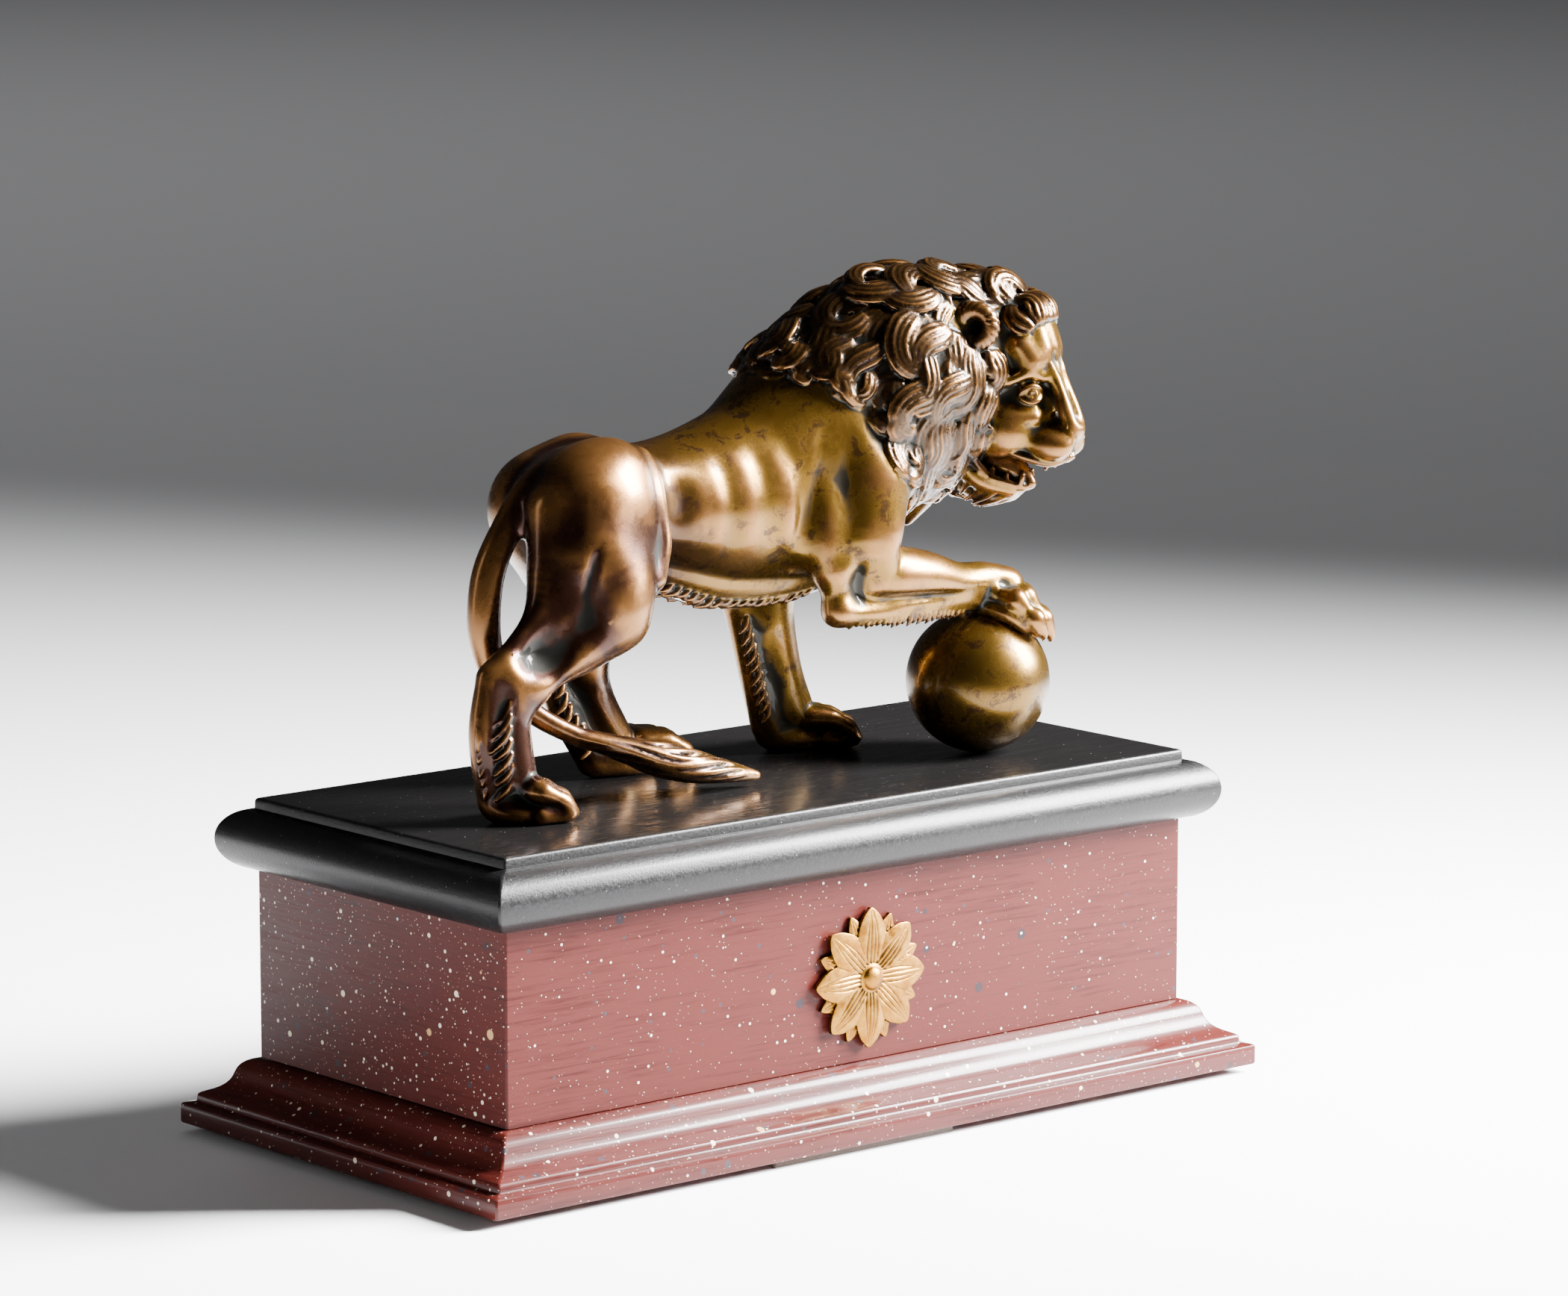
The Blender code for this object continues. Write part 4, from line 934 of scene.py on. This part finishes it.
def laid_lock(skin, root, normal, flow, length, curl, swing, strands=5, lift=2.4, hook=0.0, barred=None):
    """Gives the strands of one lock, side by side, joined at the tip and ending where places are barred."""
    spine = walk(skin, root, normal, flow, length, curl, swing, hook)
    free = LOCK_POINTS
    if barred:
        free = next((number for number, (place, _, _) in enumerate(spine) if barred(place)), LOCK_POINTS)
    if free < SHORTEST_LOCK:
        return []
    if free < LOCK_POINTS:
        spine = walk(skin, root, normal, flow, length * free / LOCK_POINTS, curl, swing, hook)
    fine = 0.75 + 0.25 * free / LOCK_POINTS
    locks = []
    middle = (strands - 1) / 2
    for strand in range(strands):
        offset = strand - middle
        stop = LOCK_POINTS - round(abs(offset) * 1.1)
        stations = []
        for number in range(stop):
            share = number / (LOCK_POINTS - 1)
            spot, up, ahead = spine[number]
            width = min(1, 0.6 + 2.2 * share) * (1 - share ** 3) + 0.08
            rise = lift * (0.3 + 0.7 * math.sin(math.pi * min(1, share * 1.1 + 0.06)) ** 0.8)
            rise -= 0.9 * (offset / max(middle, 1)) ** 2 * width
            across = up.cross(ahead).normalized() * offset * STRAND_PITCH * fine * width
            radius = STRAND_RADIUS * fine * (0.5 + 0.5 * width) * (1.1 if strand % 2 else 0.95)
            if number == stop - 1:
                radius *= 0.45
            stations.append((*(spot + across + up * rise), radius))
        locks.append(stations)
    core = []
    for number in range(LOCK_POINTS - 4):
        share = number / (LOCK_POINTS - 1)
        spot, up, ahead = spine[number]
        thick = strands * STRAND_PITCH * fine * 0.36 * (1 - 0.6 * share)
        core.append((*(spot + up * (lift * min(1, 0.4 + 2 * share) - 0.5 - thick)), thick))
    locks.append(core)
    return locks


def in_face(place):
    """Tells whether a place lies on the bare face or in an ear."""
    ahead, left, up = Matrix.Rotation(math.radians(-FACE_TURN), 3, "Z") @ (place - NOSE)
    edge = np.interp(up, [edge[0] for edge in FACE_EDGE], [edge[1] for edge in FACE_EDGE])
    return ahead > edge or in_ear(place)


def in_ear(place):
    """Tells whether a place lies in an ear."""
    return any((place - ear_frame(side)[0]).length < EAR_CLEAR for side in (-1, 1))


def bare(place):
    """Tells whether a place lies on the face, in an ear or behind the mane's edge."""
    edge = np.interp(place.z, [edge[0] for edge in MANE_EDGE], [edge[1] for edge in MANE_EDGE])
    return place.x < edge or in_face(place)


def face_frame_strands(skin):
    """Lays the locks that frame the face, from crown past ears to jaw, and the forehead's tufts."""
    rng = random.Random(3)
    turn = Matrix.Rotation(math.radians(FACE_TURN), 3, "Z")
    strands = []
    for number, (root, flow, length, lift) in enumerate(FRAME_LOCKS):
        for side in (-1, 1):
            place, normal, _, _ = skin.find_nearest(from_nose(root[0], root[1] * side, root[2]))
            flow_here = turn @ Vector((flow[0], flow[1] * side, flow[2]))
            hand = side * (1 if number % 2 else -1)
            strands += laid_lock(
                skin, place, normal, flow_here.normalized(), length, hand * rng.uniform(0.3, 0.8),
                -hand * math.radians(rng.uniform(28, 42)), lift=lift, hook=hand * rng.uniform(0.8, 1.6),
                barred=in_ear)
    for number, (root, lean, length) in enumerate(CROWN_TUFTS):
        place, normal, _, _ = skin.find_nearest(from_nose(*root))
        flow_here = turn @ Vector((-0.5, lean, 1)).normalized()
        hand = 1 if number % 2 else -1
        strands += laid_lock(
            skin, place, normal, flow_here, length, hand * 0.5, -hand * math.radians(30), strands=4,
            lift=2.4 + 0.7 * (number % 2), hook=hand * 1.2, barred=in_ear)
    return strands


def mane_strands(skin):
    """Lays a low layer of locks and a high one over the neck, from the withers up to the face."""
    rng = random.Random(7)
    path = [station.xyz for station in smooth_path([(*place, 1) for place in MANE_LINE], 2.0)]
    strands = []
    for rows, locks, low, high, usual, width in MANE_LAYERS:
        for row in reversed(range(rows)):
            share = row / (rows - 1)
            number = min(round(share * (len(path) - 1)), len(path) - 2)
            middle = path[number]
            back = (path[number + 1] - middle).normalized()
            side = back.cross(Vector((0, 0, 1))).normalized()
            top = side.cross(back)
            for lock in range(locks):
                spread = (lock + 0.5 * (row % 2) + rng.uniform(-0.15, 0.15)) / (locks - 1) * 2 - 1
                angle = math.radians(MANE_SPREAD * spread)
                out = top * math.cos(angle) + side * math.sin(angle)
                root, normal, _, _ = skin.ray_cast(middle + out * 80, -out)
                if root is None or root.z < MANE_FOOT or bare(root):
                    continue
                aside = abs(math.sin(angle))
                flow = (back + Vector((0, 0, -0.1 - 1.1 * aside))).normalized()
                length = usual + 7 * aside + 2 * share + rng.uniform(-3, 3)
                hand = 1 if (lock + row) % 2 else -1
                curl = hand * rng.uniform(0.3, 1.0)
                swing = -hand * math.radians(rng.uniform(30, 52))
                if aside < 0.8 and share < 0.65:
                    curl, swing = hand * rng.uniform(1.5, 2.6), -hand * 0.2
                strands += laid_lock(
                    skin, root, normal, flow, length, curl, swing, strands=width + rng.choice((-1, 0, 1)),
                    lift=rng.uniform(low, high), hook=hand * rng.uniform(0.8, 2.2), barred=bare)
    return strands


def fringe_tufts():
    """Gives the short tufts that lie along the belly, under the raised forearm and behind the legs."""
    rng = random.Random(11)
    tufts = []
    for line, way, length, number, thick in FRINGES.values():
        path = smooth_path([(*place, thick) for place in line], 0.5)
        way = Vector(way).normalized()
        for tuft in range(number):
            root = path[round((tuft + 0.5) / number * (len(path) - 1))].xyz
            tip = root + way * length * rng.uniform(0.85, 1.15)
            bow = way.cross(Vector((0, 1, 0))).normalized() * length * rng.uniform(0.06, 0.16)
            tufts.append([(*root, thick * 0.7), (*((root + tip) / 2 + bow), thick), (*tip, thick * 0.3)])
    return tufts


def tail_tuft():
    """Gives the twisted, wavy strands of the tuft on the tail."""
    core = smooth_path(FIRM_LIMBS["tail"][8:], 2.5)
    strands = []
    for number in range(TAIL_STRANDS):
        stations = []
        for step, station in enumerate(core):
            share = step / (len(core) - 1)
            ahead = (core[min(step + 1, len(core) - 1)] - core[max(step - 1, 0)]).xyz.normalized()
            side = ahead.cross(Vector((0, 0, 1))).normalized()
            turn = 2 * math.pi * number / TAIL_STRANDS + 1.5 * share + 0.35 * math.sin(9 * share + number)
            out = side * math.cos(turn) * 1.35 + side.cross(ahead) * math.sin(turn) * 0.9
            place = station.xyz + out * station.w * (0.5 + 0.6 * math.sin(math.pi * share))
            stations.append((*place, station.w * 0.3 * (1 - 0.5 * share) + 0.25))
        strands.append(stations)
    return strands


def keep_largest(bm):
    """Removes sealed bubbles and crumbs, so that one closed skin is left."""
    left = set(bm.faces)
    shells = []
    while left:
        shell = {left.pop()}
        rim = set(shell)
        while rim:
            near = {beside for face in rim for edge in face.edges for beside in edge.link_faces}
            rim = near - shell
            shell |= near
        left -= shell
        shells.append(shell)
    shells.sort(key=len)
    crumbs = [face for shell in shells[:-1] for face in shell]
    if crumbs:
        bmesh.ops.delete(bm, geom=crumbs, context="FACES")


def cut_flat(bm, height):
    """Cuts a closed form off flat at a height and closes it again."""
    geometry = bm.verts[:] + bm.edges[:] + bm.faces[:]
    bmesh.ops.bisect_plane(bm, geom=geometry, dist=1e-5, plane_co=(0, 0, height), plane_no=(0, 0, 1),
                           clear_inner=True)
    bmesh.ops.triangle_fill(bm, use_beauty=True, edges=[edge for edge in bm.edges if edge.is_boundary])
    bmesh.ops.recalc_face_normals(bm, faces=bm.faces)


def build_lion(material):
    """Builds the lion from skin to hair, fuses it to one surface and fits it to plinth and ball."""
    skin = skin_of_lion()
    surface = BVHTree.FromBMesh(skin)
    hair = mane_strands(surface) + face_frame_strands(surface) + tufted_ears()
    add_limbs(skin, hair, step=0, sides=2)
    add_limbs(skin, face_details() + tail_tuft() + fringe_tufts(), step=1.0, sides=3)
    bm = modified(skin, "REMESH", mode="VOXEL", voxel_size=FINAL_VOXEL)
    keep_largest(bm)
    bm = thinned(bm, LION_TRIANGLES)
    for vert in bm.verts:
        away = vert.co - BALL_PLACE
        if away.length < BALL_RADIUS + PAW_GAP:
            vert.co = BALL_PLACE + away.normalized() * (BALL_RADIUS + PAW_GAP)
    cut_flat(bm, FLAT_CUT)
    rise = [surface.find_nearest(vert.co)[3] for vert in bm.verts]
    bmesh.ops.translate(bm, verts=bm.verts, vec=(0, 0, PLINTH_TOP))
    lion = new_piece("lion_casting", bm, material)
    hair = lion.data.attributes.new("hair", "FLOAT", "POINT")
    hair.data.foreach_set("value", np.clip((np.array(rise) - 0.35) / 0.5, 0, 1).astype(np.float32))
    relief_attribute(lion.data)
    return lion


def relief_attribute(mesh, fine=6, broad=26):
    """Stores how far each point stands above the smoothed surface, from -1 in hollows to 1 on crests."""
    count = len(mesh.vertices)
    places = np.empty(count * 3, np.float64)
    mesh.vertices.foreach_get("co", places)
    places = places.reshape(-1, 3)
    normals = np.empty(count * 3, np.float64)
    mesh.vertices.foreach_get("normal", normals)
    normals = normals.reshape(-1, 3)
    edges = np.empty(len(mesh.edges) * 2, np.int64)
    mesh.edges.foreach_get("vertices", edges)
    first, second = edges.reshape(-1, 2).T
    degree = np.bincount(first, minlength=count) + np.bincount(second, minlength=count)
    degree = np.maximum(degree, 1)[:, None]
    smooth = places.copy()
    total = np.zeros(count)
    for turn in range(broad):
        gathered = np.empty_like(smooth)
        for axis in range(3):
            gathered[:, axis] = np.bincount(first, smooth[second, axis], count)
            gathered[:, axis] += np.bincount(second, smooth[first, axis], count)
        smooth = 0.3 * smooth + 0.7 * gathered / degree
        if turn + 1 in (fine, broad):
            height = ((places - smooth) * normals).sum(axis=1)
            total += height / max(np.percentile(np.abs(height), 92), 1e-9) * 0.5
    attribute = mesh.attributes.new("relief", "FLOAT", "POINT")
    attribute.data.foreach_set("value", np.clip(total, -1, 1).astype(np.float32))


def plain_frame(profile, corner, outset_from):
    """Gives a block whose sides follow a profile of outset and height, with softly rounded mitres."""
    bm = bmesh.new()
    rings = []
    for outset, height in profile:
        reach = Vector((outset_from.x + outset - corner, outset_from.y + outset - corner))
        verts = []
        for number, (sign_x, sign_y) in enumerate(((1, 1), (-1, 1), (-1, -1), (1, -1))):
            for step in range(CORNER_STEPS + 1):
                angle = math.pi / 2 * (number + step / CORNER_STEPS)
                x = sign_x * reach.x + corner * math.cos(angle)
                y = sign_y * reach.y + corner * math.sin(angle)
                verts.append(bm.verts.new((x, y, height)))
        rings.append([bm.edges.new(ends) for ends in zip(verts, verts[1:] + verts[:1])])
    for lower, upper in zip(rings, rings[1:]):
        bmesh.ops.bridge_loops(bm, edges=lower + upper)
    for ring in (rings[0], rings[-1]):
        bmesh.ops.contextual_create(bm, geom=ring)
    bmesh.ops.recalc_face_normals(bm, faces=bm.faces)
    return bm


def colour_setting(name, what, hex_colour):
    """Gives a colour that a user may change, from its sRGB hex value."""
    return bpy.props.FloatVectorProperty(
        name=name, description=what, subtype="COLOR", size=4, default=linear(hex_colour))


class StatueSettings(bpy.types.PropertyGroup):
    """Sizes and colours that a user may change."""

    lens: bpy.props.FloatProperty(
        name="Lens", description="Focal length of the camera", default=142.896, min=50, unit="CAMERA")
    rosette_rise: bpy.props.FloatProperty(
        name="Rosette rise", description="How far the rosette's broad petals stand off the die",
        default=2.6 * MM, min=1 * MM, max=4 * MM, unit="LENGTH")
    edge_round: bpy.props.FloatProperty(
        name="Edge rounding", description="Radius of the plinth's upright edges",
        default=0.8 * MM, min=0.2 * MM, max=3 * MM, unit="LENGTH")
    bronze_brown: colour_setting("Bronze, brown", "Patina of the hindquarters", "#2B1409")
    bronze_gold: colour_setting("Bronze, gold", "Worn patina of back and shoulders", "#644813")
    bronze_blotch: colour_setting("Bronze, blotches", "Blotches in the patina", "#241008")
    bronze_hair: colour_setting("Bronze, hair", "Patina of the mane", "#1D0E08")
    ball_gold: colour_setting("Ball", "Patina of the ball", "#584010")
    paint: colour_setting("Stone paint", "Ground colour of the painted plinth", "#3E1612")
    black: colour_setting("Black", "Lacquer of the plinth's cap", "#0E0D0D")
    gilt: colour_setting("Gilt", "Gilding of the rosette", "#74480C")
    felt: colour_setting("Felt", "Felt under the plinth", "#2A1C15")
    floor: colour_setting("Floor", "Paper that the statue stands on", "#EFEFF1")


class LION_OT_stage(bpy.types.Operator):
    """Sets the floor, the lights and the camera"""

    bl_idname = "lion_statue.stage"
    bl_label = "Stage"

    def execute(self, context):
        scene = context.scene
        settings = scene.lion_statue
        bm = bmesh.new()
        bmesh.ops.create_grid(bm, x_segments=1, y_segments=1, size=FLOOR_REACH)
        floor = new_piece("floor", bm, matt_sweep(settings.floor), scale=1)
        camera = bpy.data.objects.new("camera", bpy.data.cameras.new("camera"))
        camera.data.lens = settings.lens
        camera.data.sensor_width = 36
        camera.location = CAMERA_PLACE
        camera.rotation_euler = CAMERA_LOOK.to_track_quat("-Z", "Y").to_euler()
        scene.collection.objects.link(camera)
        scene.camera = camera
        for name, (place, aim, size, spread, energy, seen) in LAMPS.items():
            light = bpy.data.lights.new(name, "AREA")
            light.shape = "RECTANGLE"
            light.size, light.size_y = size
            light.spread = math.radians(spread)
            light.energy = energy
            item = bpy.data.objects.new(name, light)
            item.location = place
            item.rotation_euler = (Vector(aim) - Vector(place)).to_track_quat("-Z", "Y").to_euler()
            item.visible_glossy = seen
            scene.collection.objects.link(item)
        world = bpy.data.worlds.new("studio")
        world.use_nodes = True
        background = world.node_tree.nodes["Background"]
        background.inputs["Color"].default_value = linear("#C9CACC")
        background.inputs["Strength"].default_value = SURROUNDINGS
        scene.world = world
        return {"FINISHED"}


class LION_OT_lion(bpy.types.Operator):
    """Builds the bronze lion"""

    bl_idname = "lion_statue.lion"
    bl_label = "Lion"

    def execute(self, context):
        settings = context.scene.lion_statue
        bronze = patinated_bronze(
            "brown_patinated_bronze", settings.bronze_brown, settings.bronze_gold, settings.bronze_blotch,
            settings.bronze_hair, -0.02, 0.05)
        settle(build_lion(bronze), "bronze", "lion")
        return {"FINISHED"}


class LION_OT_ball(bpy.types.Operator):
    """Builds the bronze ball"""

    bl_idname = "lion_statue.ball"
    bl_label = "Ball"

    def execute(self, context):
        settings = context.scene.lion_statue
        bm = bmesh.new()
        bmesh.ops.create_uvsphere(bm, u_segments=128, v_segments=80, radius=BALL_RADIUS,
                                  matrix=Matrix.Translation(BALL_PLACE))
        cut_flat(bm, FLAT_CUT)
        bmesh.ops.translate(bm, verts=bm.verts, vec=(0, 0, PLINTH_TOP))
        bronze = patinated_bronze(
            "golden_patinated_bronze", settings.bronze_brown, settings.ball_gold, settings.bronze_blotch,
            settings.bronze_hair, 0.06, 0.1)
        settle(new_piece("ball_casting", bm, bronze), "ball_bronze", "ball")
        return {"FINISHED"}


def petal(reach, half_width, root_rise, tip_rise):
    """Gives one petal that points along X: leaf shaped, hollowed between its edge and its vein, with ribs."""
    bm = bmesh.new()
    bmesh.ops.create_grid(bm, x_segments=48, y_segments=40, size=1)
    for vert in bm.verts:
        along, across = (vert.co.x + 1) / 2, vert.co.y
        wide = half_width * (0.35 + 0.65 * math.sin(math.pi / 2 * min(1, along / 0.55)))
        wide *= (1 - max(0, (along - 0.5) / 0.5) ** 2.2) ** 0.75
        rise = root_rise + (tip_rise - root_rise) * math.sin(math.pi * min(1, along * 0.72 + 0.05))
        cut = sum(math.exp(-((abs(across) - line) / 0.07) ** 2) for line in (0.13, 0.52 - 0.3 * along))
        vault = 0.9 * (1 - across ** 2) * math.sin(math.pi * min(1, 0.15 + along * 0.85))
        vert.co = (reach * along, across * wide, rise + vault - 0.42 * cut * (1 - along ** 3))
    return modified(bm, "SOLIDIFY", thickness=1.7, offset=-1)


class LION_OT_rosette(bpy.types.Operator):
    """Builds the gilt flower on the front of the die"""

    bl_idname = "lion_statue.rosette"
    bl_label = "Rosette"

    def execute(self, context):
        settings = context.scene.lion_statue
        bm = bmesh.new()
        for number, reach, half_width, first, root_rise, tip_rise in PETAL_RINGS:
            tip_rise *= settings.rosette_rise / MM / PETAL_RINGS[1][5]
            for turn in range(number):
                leaf = petal(reach, half_width, root_rise, tip_rise)
                angle = 2 * math.pi * (turn + first + 0.04 * math.sin(5 * turn)) / number
                bmesh.ops.rotate(
                    leaf, verts=leaf.verts, cent=(0, 0, 0), matrix=Matrix.Rotation(angle, 3, "Z"))
                mesh = bpy.data.meshes.new("petal")
                leaf.to_mesh(mesh)
                leaf.free()
                bm.from_mesh(mesh)
                bpy.data.meshes.remove(mesh)
        for radius, height, rise in ((BOSS_RADIUS + 0.4, 0.9, 2.6), (BOSS_RADIUS - 0.5, 2.1, 2.9)):
            bmesh.ops.create_uvsphere(bm, u_segments=48, v_segments=24, radius=1, matrix=Matrix.LocRotScale(
                Vector((0, 0, rise)), None, Vector((radius, radius, height))))
        bm = thinned(modified(bm, "REMESH", mode="VOXEL", voxel_size=ROSETTE_VOXEL), ROSETTE_TRIANGLES)
        middle = (ROSETTE_LOW + ROSETTE_HIGH) / 2
        upright = Matrix.Translation((middle.x, DIE_LOW.y, middle.z)) @ Matrix.Rotation(math.pi / 2, 4, "X")
        bmesh.ops.transform(bm, matrix=upright, verts=bm.verts)
        rosette = new_piece("rosette_casting", bm, gilt_brass(settings.gilt))
        relief_attribute(rosette.data, 5, 16)
        settle(rosette, "gilt_brass", "rosette")
        return {"FINISHED"}


class LION_OT_felts(bpy.types.Operator):
    """Lays the strips of felt under the plinth"""

    bl_idname = "lion_statue.felts"
    bl_label = "Felts"

    def execute(self, context):
        brown = wool_felt(context.scene.lion_statue.felt)
        for name in ("felt_front", "felt_back", "felt_left_end", "felt_right_end"):
            low, high = (Vector(corner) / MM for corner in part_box(name))
            bm = bmesh.new()
            size = high - low
            size.z = BASE_LOW.z - low.z
            middle = (low + high) / 2 + Vector((0, 0, (size.z - high.z + low.z) / 2))
            bmesh.ops.create_cube(bm, size=1, matrix=Matrix.LocRotScale(middle, None, size))
            bmesh.ops.bevel(bm, geom=bm.edges[:], offset=0.35, segments=3, profile=0.5, affect="EDGES")
            settle(new_piece(name + "_strip", bm, brown), "felt", name)
        return {"FINISHED"}


class LION_OT_plinth(bpy.types.Operator):
    """Builds base, die and cap of the plinth"""

    bl_idname = "lion_statue.plinth"
    bl_label = "Plinth"

    def execute(self, context):
        settings = context.scene.lion_statue
        corner = settings.edge_round / MM
        die = Vector((DIE_HIGH.x, DIE_HIGH.y))
        varnished = stone_paint("varnished_stone_paint", settings.paint, BASE_VARNISH)
        base = new_piece("base_moulding", plain_frame(BASE_PROFILE, corner, die), varnished)
        settle(base, "painted_wood", "plinth_base")
        block = [(0, DIE_LOW.z), (0, DIE_HIGH.z)]
        satin = stone_paint("satin_stone_paint", settings.paint, DIE_VARNISH)
        block = new_piece("die_block", plain_frame(block, corner, die), satin)
        settle(block, "painted_wood", "plinth_die")
        low, high = CAP_LOW.z, PLINTH_TOP - CAP_SLAB
        radius = (high - low) / 2
        cap = []
        for step in range(NOSE_STEPS + 1):
            angle = math.pi * (step / NOSE_STEPS - 0.5)
            cap.append((CAP_OUTSET + radius * math.cos(angle), (low + high) / 2 + radius * math.sin(angle)))
        cap[-1] = (0.95, high)
        cap += [(0.7, high + 0.15), (0.6, PLINTH_TOP - 0.9), (0.4, PLINTH_TOP - 0.4), (0.0, PLINTH_TOP - 0.1),
                (-0.7, PLINTH_TOP)]
        top = new_piece("cap_board", plain_frame(cap, corner, die), ebonised_wood(settings.black))
        settle(top, "black_lacquered_wood", "plinth_cap")
        for item in (base, block, top):
            item.data.set_sharp_from_angle(angle=SHARP_BEND)
        return {"FINISHED"}


class LION_PT_statue(bpy.types.Panel):
    """Lists the pieces and what may be changed on them"""

    bl_idname = "LION_PT_statue"
    bl_label = "Bronze lion"
    bl_space_type = "VIEW_3D"
    bl_region_type = "UI"
    bl_category = "Lion"

    def draw(self, context):
        for name in StatueSettings.__annotations__:
            self.layout.prop(context.scene.lion_statue, name)
        for item in OPERATORS:
            self.layout.operator(item.bl_idname)


OPERATORS = (LION_OT_stage, LION_OT_lion, LION_OT_ball, LION_OT_plinth, LION_OT_rosette, LION_OT_felts)
CLASSES = (StatueSettings, *OPERATORS, LION_PT_statue)


def register():
    for item in CLASSES:
        bpy.utils.register_class(item)
    bpy.types.Scene.lion_statue = bpy.props.PointerProperty(type=StatueSettings)


def unregister():
    del bpy.types.Scene.lion_statue
    for item in reversed(CLASSES):
        bpy.utils.unregister_class(item)


def main():
    register()
    bpy.ops.lion_statue.stage()
    bpy.ops.lion_statue.lion()
    bpy.ops.lion_statue.ball()
    bpy.ops.lion_statue.plinth()
    bpy.ops.lion_statue.rosette()
    bpy.ops.lion_statue.felts()


if __name__ == "__main__":
    main()
